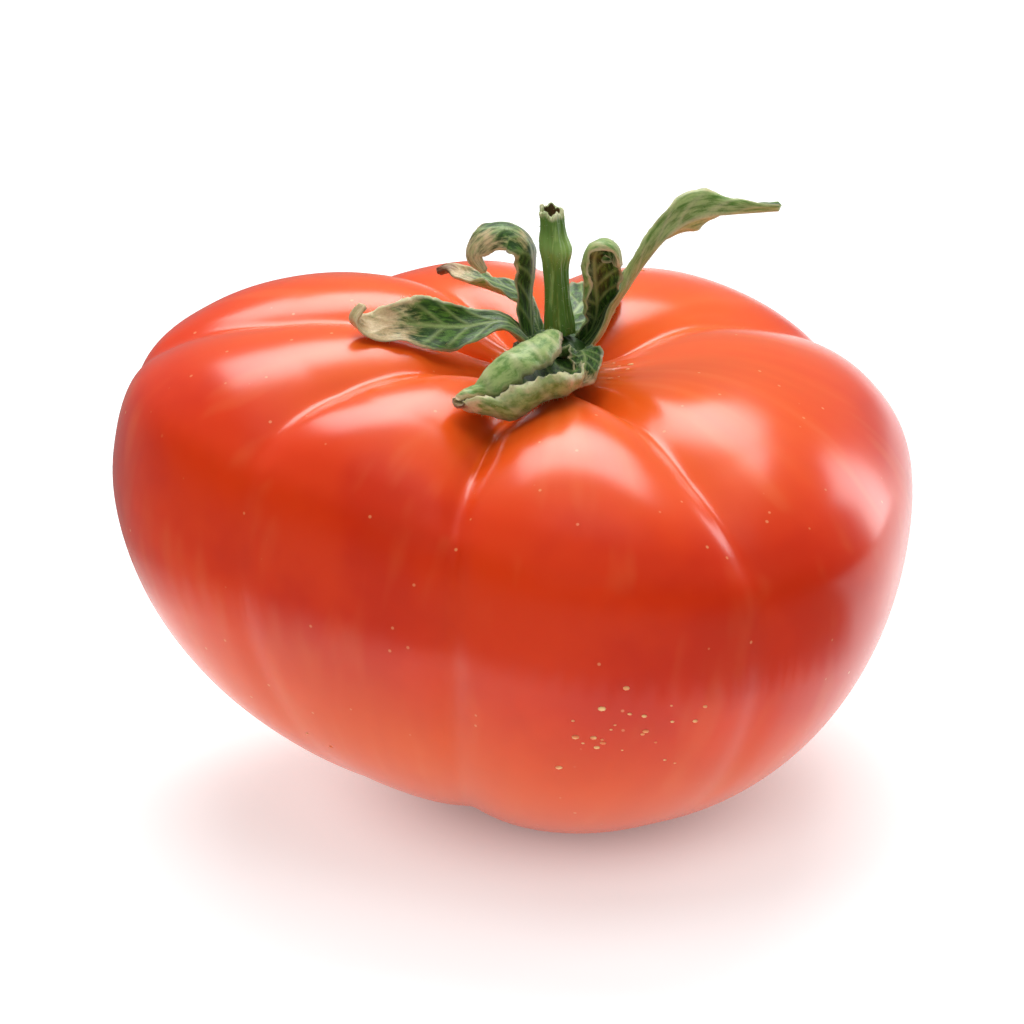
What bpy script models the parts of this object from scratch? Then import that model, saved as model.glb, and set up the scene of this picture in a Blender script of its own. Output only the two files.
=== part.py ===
"""A ribbed beefsteak tomato: the fruit, the green calyx sunk in its stem end, and the broken stub of its stem.

Everything is drawn about the fruit's core, with +Z out of the stem end and z = 0 at the widest level, and then
leaned by one empty to the way it rests. The empty's place puts the flat resting spot's centre at the origin.
"""

import math
from typing import NamedTuple

import bmesh
import bpy
import numpy as np
from mathutils import Matrix, Vector
from mathutils.bvhtree import BVHTree

MM = 0.001

# Fruit: half sizes from the core, how square its shoulders and how round its underside are, and the share of
# each side's height over which one profile passes into the other
HALF_WIDTH = 48.8 * MM
HALF_DEPTH = 44.8 * MM
TOP_HEIGHT = 22.0 * MM
BOTTOM_HEIGHT = 40.0 * MM
SHOULDER_POWER = 2.55
UNDERSIDE_POWER = 2.0
PROFILE_BLEND = 0.45

# Slow swellings of the outline seen from above: share of the radius, number round, azimuth of the first in degrees
SWELLINGS = ((0.042, 1, 73.0), (0.011, 2, -83.0), (0.080, 3, 57.0))

# The sunk stem end and the small dimple where the flower was
STEM_PIT_DEPTH = 6.5 * MM
STEM_PIT_RADIUS = 14.0 * MM
BLOSSOM_DIMPLE_DEPTH = 2.0 * MM
BLOSSOM_DIMPLE_RADIUS = 10.0 * MM

# How the fruit leans as it rests, in degrees, and how far its weight has flattened the skin
LEAN_RIGHT = 7.7
LEAN_FORWARD = 3.4
FLATTENED = 1.5 * MM

# Crease between two ribs: its half width and the roundness of its bottom, in degrees round the core
CREASE_WIDTH = 13.0
CREASE_ROUND = 2.5
CREASE_START_ON_TOP = 6.0 * MM
CREASE_START_BELOW = 12.0 * MM

FRUIT_SEGMENTS = 84
FRUIT_RINGS = 34

# Calyx, about the pit's floor with +Z up the stem
SKIN_GAP = 0.35 * MM
SEPAL_GAP = 0.5 * MM
RECEPTACLE_RADIUS = 4.9 * MM
RECEPTACLE_HEIGHT = 4.4 * MM
RECEPTACLE_RIM_DROP = 2.2 * MM
RECEPTACLE_RIM_THICKNESS = 0.8 * MM
SEPAL_EDGE_THICKNESS = 0.65 * MM
SEPAL_RIB_THICKNESS = 1.1 * MM
SEPAL_TIGHTEST_CURL = 0.95 * MM
SEPAL_RIPPLE = 0.4 * MM
SEPAL_RIPPLES = 2.5
SEPAL_ROLLED_UP = 250.0
SEPAL_STEPS_ALONG = 20

# Stub of the stem
STEM_HEIGHT = 14.6 * MM
STEM_LEAN = Vector((-3.0, 1.0)) * MM
STEM_BASE_RADIUS = 1.8 * MM
STEM_RADIUS = 1.4 * MM
STEM_KNUCKLE_RADIUS = 1.9 * MM
STEM_KNUCKLE_PLACE = 0.7
STEM_SOCKET_DEPTH = 1.6 * MM
STEM_FRAY = 0.5 * MM
STEM_RIDGES = 5
STEM_RIDGE_HEIGHT = 0.15 * MM
STEM_SEGMENTS = 20
STEM_RINGS = 14


class Crease(NamedTuple):
    """A crease that runs from the stem end over the shoulder: azimuth and its drift towards the underside in
    degrees, and its depth on the shoulder, at the widest level and underneath."""

    azimuth: float
    drift: float
    shoulder: float
    side: float
    underside: float


CREASES = (
    Crease(-104.6, 6.0, 5.2 * MM, 1.6 * MM, 1.6 * MM),
    Crease(-56.0, 4.0, 3.6 * MM, 0.7 * MM, 0.4 * MM),
    Crease(40.0, 0.0, 3.4 * MM, 0.8 * MM, 0.6 * MM),
    Crease(85.0, -3.0, 4.0 * MM, 1.4 * MM, 1.0 * MM),
    Crease(128.0, 2.0, 3.4 * MM, 1.0 * MM, 0.8 * MM),
    Crease(172.0, 3.0, 4.0 * MM, 1.2 * MM, 0.8 * MM),
    Crease(-145.0, 7.0, 3.2 * MM, 0.5 * MM, 0.4 * MM),
)


class Sepal(NamedTuple):
    """One sepal: its midrib's points in millimetres about the pit's floor, and, at evenly spaced stations from root
    to tip, its width in millimetres, its twist and the arc that its width is cupped through, both in degrees. In a
    rolled one, turned_in is how far one edge comes in from the roll's wall, as a share of the roll's radius."""

    midrib: tuple
    width: tuple
    twist: tuple
    cup: tuple
    turned_in: float = 0.0


FRONT_SCROLL = Sepal(
    ((-0.9, -3.5, 2.7), (-2.0, -7.0, 3.8), (-3.9, -11.0, 3.0), (-6.4, -14.6, 0.6), (-9.2, -17.8, -2.4),
     (-12.0, -20.9, -6.0)),
    (5.0, 15.0, 23.0, 22.0, 13.0, 1.0), (-25, -55, -60, -50, -20, 0), (150, 285, 345, 360, 280), 0.5)
SHORT_FRONT = Sepal(
    ((1.5, -2.9, 2.8), (2.6, -5.2, 4.4), (3.0, -7.0, 4.0), (2.6, -8.6, 3.0), (1.2, -9.4, 2.2)),
    (4.0, 5.0, 4.6, 3.6, 1.0), (0, 0, -10, -20, -20), (50, 80, 90, 80, 50))
LONG_RIGHT = Sepal(
    ((3.2, 0.2, 2.8), (4.6, 0.6, 5.0), (5.6, 1.5, 8.0), (6.8, 2.0, 10.5), (8.2, 2.5, 13.5), (10.2, 3.5, 16.5),
     (12.2, 5.0, 18.0), (14.7, 6.0, 19.2), (19.0, 8.0, 19.8), (24.5, 9.0, 20.6)),
    (4.5, 3.2, 3.4, 4.4, 6.6, 3.0, 1.0), (0, -10, -20, -50, -70, -30, 0), (60, 90, 100, 90, 80, 200, 220))
ARCHED_RIGHT = Sepal(
    ((3.0, 1.9, 2.6), (3.9, 1.4, 7.0), (3.0, 0.3, 12.0), (2.6, -0.3, 15.0), (3.4, -0.8, 16.8), (4.9, -1.2, 16.4),
     (5.6, -1.8, 14.4)),
    (2.8, 4.4, 7.0, 7.6, 5.6, 1.0), (-50, -25, -25, -40, -50), (-50, -100, -180, -200, -140))
BACK = Sepal(
    ((0.4, 3.3, 2.8), (2.0, 6.0, 4.8), (3.5, 9.5, 5.2), (6.0, 13.5, 4.5), (7.5, 16.5, 4.0)),
    (4.0, 6.0, 6.5, 4.5, 1.0), (0, 5, 10, 10, 10), (50, 60, 60, 60, 50))
LOW_LEFT = Sepal(
    ((-2.2, 2.5, 2.8), (-4.6, 3.6, 6.6), (-8.0, 4.5, 7.6), (-11.5, 5.5, 7.9), (-13.5, 6.5, 8.3), (-15.0, 7.0, 7.5)),
    (3.0, 3.5, 4.0, 3.2, 1.0), (0, 0, 10, 0, -20), (50, 70, 80, 80, 60))
RING_LEFT = Sepal(
    ((-3.2, 1.0, 2.8), (-4.2, 1.5, 8.0), (-4.4, 1.5, 12.0), (-5.4, 1.0, 15.0), (-7.8, 1.0, 16.2),
     (-10.3, 0.0, 15.2), (-11.3, -0.5, 13.0), (-9.6, -1.0, 11.4)),
    (3.5, 4.2, 5.2, 5.6, 4.2, 1.0), (0, 0, 10, 10, 0), (-40, -60, -80, -90, -80))
LEFT = Sepal(
    ((-3.3, -0.5, 2.8), (-6.5, -1.0, 5.2), (-11.0, -2.0, 4.5), (-15.5, -3.0, 3.7), (-19.0, -3.5, 2.6),
     (-22.3, -4.0, 2.4), (-24.2, -4.5, 4.4), (-23.2, -4.0, 6.6)),
    (3.5, 3.5, 5.5, 7.5, 5.5, 4.0, 1.0), (0, -20, -35, -50, -20, 0), (50, 60, 70, 60, 40))
SEPALS = (FRONT_SCROLL, SHORT_FRONT, LONG_RIGHT, ARCHED_RIGHT, BACK, LOW_LEFT, RING_LEFT, LEFT)


def wrapped(degrees):
    """Degrees brought to between -180 and 180."""
    return (degrees + 180.0) % 360.0 - 180.0


def outline_radius(azimuth):
    """Radius of the plain outline at an azimuth in degrees, before any crease."""
    angle = math.radians(azimuth)
    radius = 1.0 / math.hypot(math.cos(angle) / HALF_WIDTH, math.sin(angle) / HALF_DEPTH)
    for share, count, first in SWELLINGS:
        radius *= 1.0 + share * math.cos(math.radians(count * (azimuth - first)))
    return radius


def crease_depth(azimuth, level):
    """Depth of all creases together at an azimuth and a level from -1, underneath, to 1, on top."""
    shoulder = min(max((level + 0.15) / 0.95, 0.0), 1.0) ** 1.3
    underside = min(max((-level - 0.15) / 0.85, 0.0), 1.0)
    side = max(1.0 - shoulder - underside, 0.0)
    total = 0.0
    for crease in CREASES:
        off = wrapped(azimuth - crease.azimuth + crease.drift * level)
        rounded = math.hypot(off, CREASE_ROUND) - CREASE_ROUND
        depth = crease.shoulder * shoulder + crease.side * side + crease.underside * underside
        total += depth * math.exp(-rounded / CREASE_WIDTH)
    return total


def profile(level):
    """Superellipse power and height at a level from -1 to 1, passing smoothly from the underside's to the top's."""
    share = min(max((level / PROFILE_BLEND + 1.0) / 2.0, 0.0), 1.0)
    share = share * share * (3.0 - 2.0 * share)
    power = UNDERSIDE_POWER + (SHOULDER_POWER - UNDERSIDE_POWER) * share
    return power, BOTTOM_HEIGHT + (TOP_HEIGHT - BOTTOM_HEIGHT) * share


def skin_point(azimuth, polar):
    """Point of the fruit's skin. polar runs from 0 at the flower's scar to pi at the stem end."""
    level = -math.cos(polar)
    power, height = profile(level)
    start = CREASE_START_ON_TOP if level > 0 else CREASE_START_BELOW
    reach = outline_radius(azimuth)
    share_out = max(math.sin(polar), 0.0) ** (2.0 / power)
    share_up = abs(level) ** (2.0 / power)
    radius = reach * share_out
    z = math.copysign(height * share_up, level)
    normal_out = share_out ** (power - 1.0) / reach
    normal_up = math.copysign(share_up ** (power - 1.0) / height, level)
    size = math.hypot(normal_out, normal_up)
    crease = crease_depth(azimuth, level) * (1.0 - math.exp(-((radius / start) ** 2)))
    if level > 0:
        z -= STEM_PIT_DEPTH * math.exp(-((radius / STEM_PIT_RADIUS) ** 2))
    else:
        z += BLOSSOM_DIMPLE_DEPTH * math.exp(-((radius / BLOSSOM_DIMPLE_RADIUS) ** 2))
    radius -= crease * normal_out / size
    z -= crease * normal_up / size
    angle = math.radians(azimuth)
    return Vector((radius * math.cos(angle), radius * math.sin(angle), z))


def even_polar_angles(count):
    """Polar angles of the rings, spaced evenly along the skin's mean profile."""
    fine = np.linspace(0.0, math.pi, 721)
    points = np.array([skin_point(0.0, polar) for polar in fine])
    steps = np.linalg.norm(np.diff(points, axis=0), axis=1)
    travelled = np.concatenate([[0.0], np.cumsum(steps)])
    return np.interp(np.linspace(0.0, travelled[-1], count), travelled, fine)


def resting_turn():
    """Rotation from the fruit's own axes to the way it rests."""
    return Matrix.Rotation(math.radians(LEAN_FORWARD), 3, "X") @ Matrix.Rotation(math.radians(LEAN_RIGHT), 3, "Y")


def fruit_mesh():
    """A globe whose points are moved onto the skin, then cut flat where the fruit rests.

    Returns the mesh and the flat spot's centre, both about the fruit's own core.
    """
    bm = bmesh.new()
    bmesh.ops.create_uvsphere(bm, u_segments=FRUIT_SEGMENTS, v_segments=FRUIT_RINGS, radius=1.0)
    rings = even_polar_angles(FRUIT_RINGS + 1)
    for vert in bm.verts:
        step = math.acos(max(-1.0, min(1.0, -vert.co.z))) / math.pi * FRUIT_RINGS
        polar = float(rings[round(step)])
        vert.co = skin_point(math.degrees(math.atan2(vert.co.y, vert.co.x)), polar)
    down = resting_turn().inverted() @ Vector((0.0, 0.0, -1.0))
    lowest = max(vert.co.dot(down) for vert in bm.verts)
    on_floor = down * (lowest - FLATTENED)
    everything = bm.verts[:] + bm.edges[:] + bm.faces[:]
    cut = bmesh.ops.bisect_plane(bm, geom=everything, plane_co=on_floor, plane_no=down, clear_outer=True)
    rim = [item for item in cut["geom_cut"] if isinstance(item, bmesh.types.BMEdge)]
    spot = bmesh.ops.contextual_create(bm, geom=rim)["faces"][0]
    centre = spot.calc_center_median_weighted()
    bmesh.ops.recalc_face_normals(bm, faces=bm.faces)
    mesh = bpy.data.meshes.new("fruit")
    bm.to_mesh(mesh)
    bm.free()
    return mesh, centre


def smoothed(values, share):
    """Value at a share of the way along evenly spaced stations, eased between them. Numbers or vectors."""
    place = share * (len(values) - 1)
    first = min(int(place), len(values) - 2)
    before, start = values[max(first - 1, 0)], values[first]
    end, after = values[first + 1], values[min(first + 2, len(values) - 1)]
    t = place - first
    return (
        start * (2 * t**3 - 3 * t**2 + 1)
        + (end - before) * 0.5 * (t**3 - 2 * t**2 + t)
        + end * (3 * t**2 - 2 * t**3)
        + (after - start) * 0.5 * (t**3 - t**2)
    )


def evenly_along(midrib, steps):
    """Points evenly spaced along the smooth curve through a midrib's points."""
    marks = [Vector(point) * MM for point in midrib]
    fine = np.array([smoothed(marks, share) for share in np.linspace(0.0, 1.0, 201)])
    lengths = np.linalg.norm(np.diff(fine, axis=0), axis=1)
    travelled = np.concatenate([[0.0], np.cumsum(lengths)])
    wanted = np.linspace(0.0, travelled[-1], steps + 1)
    return [Vector([float(np.interp(at, travelled, fine[:, axis])) for axis in range(3)]) for at in wanted]


def sepal_columns(sepal):
    """Number of facets across a sepal: more for one that is rolled up."""
    return 8 if max(sepal.cup) > SEPAL_ROLLED_UP else 4


def sepal_rows(sepal):
    """Pairs of upper and under points across each cross-section, from root to tip."""
    centres = evenly_along(sepal.midrib, SEPAL_STEPS_ALONG)
    columns = sepal_columns(sepal)
    upper = Vector((0.0, 0.0, 1.0))
    rows = []
    for step, centre in enumerate(centres):
        share = step / SEPAL_STEPS_ALONG
        along = (centres[min(step + 1, SEPAL_STEPS_ALONG)] - centres[max(step - 1, 0)]).normalized()
        upper = (upper - along * upper.dot(along)).normalized()
        faced = Matrix.Rotation(math.radians(smoothed(sepal.twist, share)), 3, along) @ upper
        side = along.cross(faced)
        fade = math.sin(math.pi * share)
        half = smoothed(sepal.width, share) * MM / 2.0
        arc = math.radians(smoothed(sepal.cup, share))
        arc = math.copysign(min(abs(arc), 2.0 * half / SEPAL_TIGHTEST_CURL), arc)
        bend = 2.0 * half / arc
        row = []
        for column in range(columns + 1):
            v = 2.0 * column / columns - 1.0
            angle = v * arc / 2.0
            middle = centre + side * (bend * math.sin(angle)) + faced * (bend * (1.0 - math.cos(angle)))
            out = faced * math.cos(angle) - side * math.sin(angle)
            middle = middle + out * (sepal.turned_in * bend * max(v, 0.0) ** 2)
            thickness = SEPAL_EDGE_THICKNESS + (SEPAL_RIB_THICKNESS - SEPAL_EDGE_THICKNESS) * (1.0 - abs(v)) ** 2
            ripple = out * (SEPAL_RIPPLE * v**2 * math.sin(math.tau * SEPAL_RIPPLES * share + 1.7 * v) * fade)
            row.append((middle + ripple + out * (thickness / 2.0), middle + ripple - out * (thickness / 2.0)))
        rows.append(row)
    return rows


def lifted_clear(rows, skin):
    """Rows lifted so that no point comes nearer to the skin than the sepal's gap, each row with its neighbours."""
    needs = []
    for row in rows:
        need = 0.0
        for point in [point for pair in row for point in pair]:
            near, normal, _, _ = skin.find_nearest(point)
            need = max(need, (SEPAL_GAP - (point - near).dot(normal)) / max(normal.z, 0.5))
        needs.append(need)
    lifts = [max(need * max(1.0 - abs(at - step) / 4.0, 0.0) for at, need in enumerate(needs))
             for step in range(len(rows))]
    return [[(a + Vector((0, 0, lift)), b + Vector((0, 0, lift))) for a, b in row] for row, lift in zip(rows, lifts)]


def sepal_object(sepal, name, skin):
    """A closed blade with its two faces split alike, thicker along the midrib than at its edges."""
    rows = sepal_rows(sepal)
    for _ in range(3):
        rows = lifted_clear(rows, skin)
    last = sepal_columns(sepal)
    points = [point for row in rows for pair in row for point in pair]
    row_size = 2 * (last + 1)
    faces = []
    for step in range(SEPAL_STEPS_ALONG):
        for column in range(last):
            a = step * row_size + 2 * column
            b, c, d = a + 2, a + row_size + 2, a + row_size
            faces += [(a, b, c), (a, c, d), (a + 1, c + 1, b + 1), (a + 1, d + 1, c + 1)]
        for edge, turned in ((0, 1), (2 * last, -1)):
            a = step * row_size + edge
            b = a + row_size
            faces += [(a, b, b + 1)[::turned], (a, b + 1, a + 1)[::turned]]
    for start, turned in ((0, 1), (SEPAL_STEPS_ALONG * row_size, -1)):
        for column in range(last):
            a = start + 2 * column
            faces += [(a, a + 1, a + 3)[::turned], (a, a + 3, a + 2)[::turned]]
    return as_object(name, closed_mesh(name, points, faces))


def closed_mesh(name, points, faces):
    """A mesh whose faces all look outward."""
    mesh = bpy.data.meshes.new(name)
    mesh.from_pydata([tuple(point) for point in points], [], faces)
    bm = bmesh.new()
    bm.from_mesh(mesh)
    bmesh.ops.recalc_face_normals(bm, faces=bm.faces)
    bm.to_mesh(mesh)
    bm.free()
    return mesh


def receptacle_object(skin):
    """The disc that the sepals grow from. Its underside follows the skin a hair's breadth above it."""

    def skin_height(x, y):
        return skin.ray_cast(Vector((x, y, HALF_WIDTH)), Vector((0.0, 0.0, -1.0)))[0].z

    rings, segments = 4, 24
    points = [(0.0, 0.0, skin_height(0.0, 0.0) + SKIN_GAP), (0.0, 0.0, RECEPTACLE_HEIGHT)]
    faces = []
    for ring in range(1, rings + 1):
        radius = RECEPTACLE_RADIUS * ring / rings
        edge = ring / rings
        for turn in range(segments):
            angle = math.tau * turn / segments
            x, y = radius * math.cos(angle), radius * math.sin(angle)
            low = skin_height(x, y) + SKIN_GAP
            high = RECEPTACLE_HEIGHT - RECEPTACLE_RIM_DROP * edge**2
            points += [(x, y, low), (x, y, max(high, low + RECEPTACLE_RIM_THICKNESS))]
    for turn in range(segments):
        after = (turn + 1) % segments
        a, b = 2 + 2 * turn, 2 + 2 * after
        faces += [(0, b, a), (1, a + 1, b + 1)]
        for ring in range(rings - 1):
            p, q = a + 2 * segments * ring, b + 2 * segments * ring
            r, s = q + 2 * segments, p + 2 * segments
            faces += [(p, q, r), (p, r, s), (p + 1, r + 1, q + 1), (p + 1, s + 1, r + 1)]
        p, q = a + 2 * segments * (rings - 1), b + 2 * segments * (rings - 1)
        faces += [(p, q, q + 1), (p, q + 1, p + 1)]
    return as_object("receptacle", closed_mesh("receptacle", points, faces))


def stem_mesh():
    """The ridged stub, swollen at its knuckle, with a frayed rim round the hollow of its broken end."""
    base = RECEPTACLE_HEIGHT + SKIN_GAP
    points = []
    for ring in range(STEM_RINGS + 1):
        share = ring / STEM_RINGS
        centre = STEM_LEAN * share
        radius = (
            STEM_RADIUS
            + (STEM_BASE_RADIUS - STEM_RADIUS) * math.exp(-((share / 0.22) ** 2))
            + (STEM_KNUCKLE_RADIUS - STEM_RADIUS) * math.exp(-(((share - STEM_KNUCKLE_PLACE) / 0.1) ** 2))
        )
        for turn in range(STEM_SEGMENTS):
            angle = math.tau * turn / STEM_SEGMENTS
            rough = radius + STEM_RIDGE_HEIGHT * math.cos(STEM_RIDGES * angle)
            z = base + STEM_HEIGHT * share
            if ring == STEM_RINGS:
                z += STEM_FRAY * math.sin(3.0 * angle) * math.cos(2.0 * angle)
            points.append((rough * math.cos(angle) + centre.x, rough * math.sin(angle) + centre.y, z))
    faces = []
    for ring in range(STEM_RINGS):
        for turn in range(STEM_SEGMENTS):
            a = ring * STEM_SEGMENTS + turn
            b = ring * STEM_SEGMENTS + (turn + 1) % STEM_SEGMENTS
            faces += [(a, b, b + STEM_SEGMENTS), (a, b + STEM_SEGMENTS, a + STEM_SEGMENTS)]
    top = STEM_RINGS * STEM_SEGMENTS
    foot, hollow = len(points), len(points) + 1
    points += [(0.0, 0.0, base), (STEM_LEAN.x, STEM_LEAN.y, base + STEM_HEIGHT - STEM_SOCKET_DEPTH)]
    for turn in range(STEM_SEGMENTS):
        after = (turn + 1) % STEM_SEGMENTS
        faces += [(foot, after, turn), (hollow, top + turn, top + after)]
    return closed_mesh("stem", points, faces)


def as_object(name, mesh):
    """An object for a mesh, linked to the scene."""
    obj = bpy.data.objects.new(name, mesh)
    bpy.context.scene.collection.objects.link(obj)
    return obj


def joined(name, pieces):
    """One solid from pieces that overlap, by one Boolean union on a collection."""
    body, *others = pieces
    body.name = body.data.name = name
    collection = bpy.data.collections.new("to_join")
    for piece in others:
        collection.objects.link(piece)
    union = body.modifiers.new("union", "BOOLEAN")
    union.operation = "UNION"
    union.operand_type = "COLLECTION"
    union.solver = "MANIFOLD"
    union.collection = collection
    bpy.context.view_layer.update()
    result = bpy.data.meshes.new_from_object(body.evaluated_get(bpy.context.evaluated_depsgraph_get()))
    body.modifiers.clear()
    body.data = result
    for piece in others:
        bpy.data.objects.remove(piece)
    bpy.data.collections.remove(collection)
    return body


def principled(name, colour, roughness):
    """A plain finish for one sub-part."""
    material = bpy.data.materials.new(name)
    material.use_nodes = True
    shader = material.node_tree.nodes["Principled BSDF"]
    shader.inputs["Base Color"].default_value = (*colour, 1.0)
    shader.inputs["Roughness"].default_value = roughness
    shader.inputs["Metallic"].default_value = 0.0
    return material


def finish(obj, material, frame):
    """Smooth shading, the sub-part's finish, and its place under the leaning frame."""
    obj.data.shade_smooth()
    obj.data.set_sharp_from_angle(angle=math.radians(50.0))
    obj.data.materials.clear()
    obj.data.materials.append(material)
    obj.parent = frame


def main():
    """Builds the fruit, the calyx and the stem."""
    for obj in list(bpy.data.objects):
        bpy.data.objects.remove(obj)

    mesh, flat_spot = fruit_mesh()
    fruit = as_object("fruit", mesh)

    turn = resting_turn()
    frame = bpy.data.objects.new("resting_frame", None)
    bpy.context.scene.collection.objects.link(frame)
    frame.rotation_euler = turn.to_euler()
    frame.location = -(turn @ flat_spot)

    pole = skin_point(0.0, math.pi)
    skin = BVHTree.FromPolygons([vert.co - pole for vert in mesh.vertices], [face.vertices for face in mesh.polygons])
    blades = [sepal_object(sepal, f"sepal_{number}", skin) for number, sepal in enumerate(SEPALS, 1)]
    calyx = joined("calyx", [receptacle_object(skin), *blades])
    stem = as_object("stem", stem_mesh())
    calyx.location.z = stem.location.z = pole.z

    finish(fruit, principled("fruit_skin", (0.66, 0.05, 0.015), 0.3), frame)
    finish(calyx, principled("calyx_green", (0.12, 0.22, 0.05), 0.65), frame)
    finish(stem, principled("stem_green", (0.16, 0.27, 0.07), 0.6), frame)


main()
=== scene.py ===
"""Looks of a ribbed beefsteak tomato: its skin, its drying calyx, its stub of stem and the studio round it.

The fruit is drawn about its core, and the calyx and the stem about the floor of the stem end's pit, with +Z out
of the stem end. All of them are then turned to the way that the fruit rests.
"""

import logging
import math
from collections.abc import Callable
from dataclasses import dataclass, field, fields
from enum import Enum
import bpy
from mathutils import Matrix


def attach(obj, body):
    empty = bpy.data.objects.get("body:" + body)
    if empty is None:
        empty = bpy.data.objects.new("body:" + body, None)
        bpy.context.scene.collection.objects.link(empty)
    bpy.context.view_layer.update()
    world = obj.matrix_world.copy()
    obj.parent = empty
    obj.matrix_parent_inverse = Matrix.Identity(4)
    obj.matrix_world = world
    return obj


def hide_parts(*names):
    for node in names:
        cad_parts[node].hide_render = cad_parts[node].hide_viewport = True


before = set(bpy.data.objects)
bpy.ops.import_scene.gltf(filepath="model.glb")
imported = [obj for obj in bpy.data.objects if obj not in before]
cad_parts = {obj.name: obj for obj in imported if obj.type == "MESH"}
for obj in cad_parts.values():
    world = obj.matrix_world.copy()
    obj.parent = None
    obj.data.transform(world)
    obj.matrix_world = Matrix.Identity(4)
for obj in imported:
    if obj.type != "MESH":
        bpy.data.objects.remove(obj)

from types import SimpleNamespace

import bmesh
import bpy
import numpy as np
from mathutils import Matrix, Vector
from mathutils.bvhtree import BVHTree

log = logging.getLogger("tomato")

MM = 0.001
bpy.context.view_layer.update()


class Mark(Enum):
    """What a piece's points remember for its shape and its finish."""

    CORE_PLACE = "core_place"
    LEVEL = "level"
    CREASE = "crease"
    ALONG = "along"
    ACROSS = "across"
    FACE = "face"
    DRYNESS = "dryness"
    NUMBER = "number"
    CENTRE = "centre"
    SIDE = "side"
    FACED = "faced"
    HALF_WIDTH = "half_width"
    CUP = "cup"
    TURNED_IN = "turned_in"
    THICKNESS = "thickness"
    INSIDE = "inside"
    ROW = "row"
    PLACE = "place"
    AZIMUTH = "azimuth"
    POLAR = "polar"


LEAF_MARKS = (Mark.ALONG, Mark.ACROSS, Mark.FACE, Mark.DRYNESS, Mark.NUMBER)
STATION_VECTORS = (Mark.CENTRE, Mark.SIDE, Mark.FACED)


class Colour(Enum):
    """Colours in linear light."""

    RIPE_RED = (0.77, 0.043, 0.004)
    DEEP_RED = (0.63, 0.020, 0.003)
    # Partly painted light: also the orange of the underside, standing in for light from the table below.
    SHOULDER_ORANGE_AND_PAINTED_LIGHT = (0.88, 0.125, 0.012)
    # Partly a painted reflection: also the pink of the underside, standing in for the white table below.
    BLUSH = (0.88, 0.20, 0.060)
    CORK = (0.62, 0.33, 0.13)
    GOLD_FLECK = (0.98, 0.60, 0.24)
    # Partly painted shade: darkens the sepals' upper faces, which line their hollows, and the stem's hollow end.
    LEAF_DARK = (0.018, 0.058, 0.007)
    LEAF_GREEN = (0.090, 0.215, 0.024)
    LEAF_LIGHT = (0.34, 0.45, 0.15)
    # Also a painted highlight along the sepals' edges.
    LEAF_CREAM = (0.62, 0.58, 0.33)
    LEAF_TAN = (0.60, 0.38, 0.20)
    LEAF_BROWN = (0.17, 0.060, 0.028)
    STEM_GREEN = (0.10, 0.22, 0.035)
    # Also a painted highlight on one side of the stem's knuckle.
    STEM_BRIGHT = (0.36, 0.55, 0.15)
    STEM_PALE = (0.62, 0.62, 0.36)
    HAIR_GREEN = (0.45, 0.52, 0.26)
    TABLE_WHITE = (0.58, 0.58, 0.58)
    LAMP_WHITE = (1.0, 1.0, 1.0)

    @property
    def rgba(self) -> tuple[float, float, float, float]:
        """The colour with full opacity."""
        return (*self.value, 1.0)


def feed(tree: bpy.types.NodeTree, socket: bpy.types.NodeSocket, value: object) -> None:
    """Puts a value on a socket.

    Args:
        tree: The tree that holds the socket.
        socket: The input to fill.
        value: A term or a socket, which is linked, or a colour or a plain value, which is set.
    """
    if isinstance(value, Term):
        value = value.socket
    if isinstance(value, bpy.types.NodeSocket):
        tree.links.new(value, socket)
    else:
        socket.default_value = value.rgba if isinstance(value, Colour) else value


def enabled(sockets: bpy.types.bpy_prop_collection, name: str) -> bpy.types.NodeSocket:
    """The socket of a name that is in use, among those of other kinds that share the name."""
    return next(socket for socket in sockets if socket.name == name and socket.enabled)


def added(name: str, data: bpy.types.ID) -> bpy.types.Object:
    """A new object in the scene, with the mesh, lamp or camera that it is given."""
    holder = bpy.data.objects.new(name, data)
    bpy.context.scene.collection.objects.link(holder)
    return holder


def of_one(operation: str) -> "Callable[[Term], Term]":
    """A method of Term that works a value out from the term alone.

    Args:
        operation: The Math node's operation.

    Returns:
        The method.
    """

    def worked_out(self: "Term") -> "Term":
        """The result for this term."""
        return self.math(operation, self)

    return worked_out


def of_two(operation: str, other_first: bool = False) -> "Callable[[Term, Term | float], Term]":
    """A method of Term that works a value out from the term and another.

    Args:
        operation: The Math node's operation.
        other_first: Whether the other one comes first in it.

    Returns:
        The method.
    """

    def worked_out(self: "Term", other: "Term | float") -> "Term":
        """The result for this term and another."""
        return self.math(operation, *((other, self) if other_first else (self, other)))

    return worked_out


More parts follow.
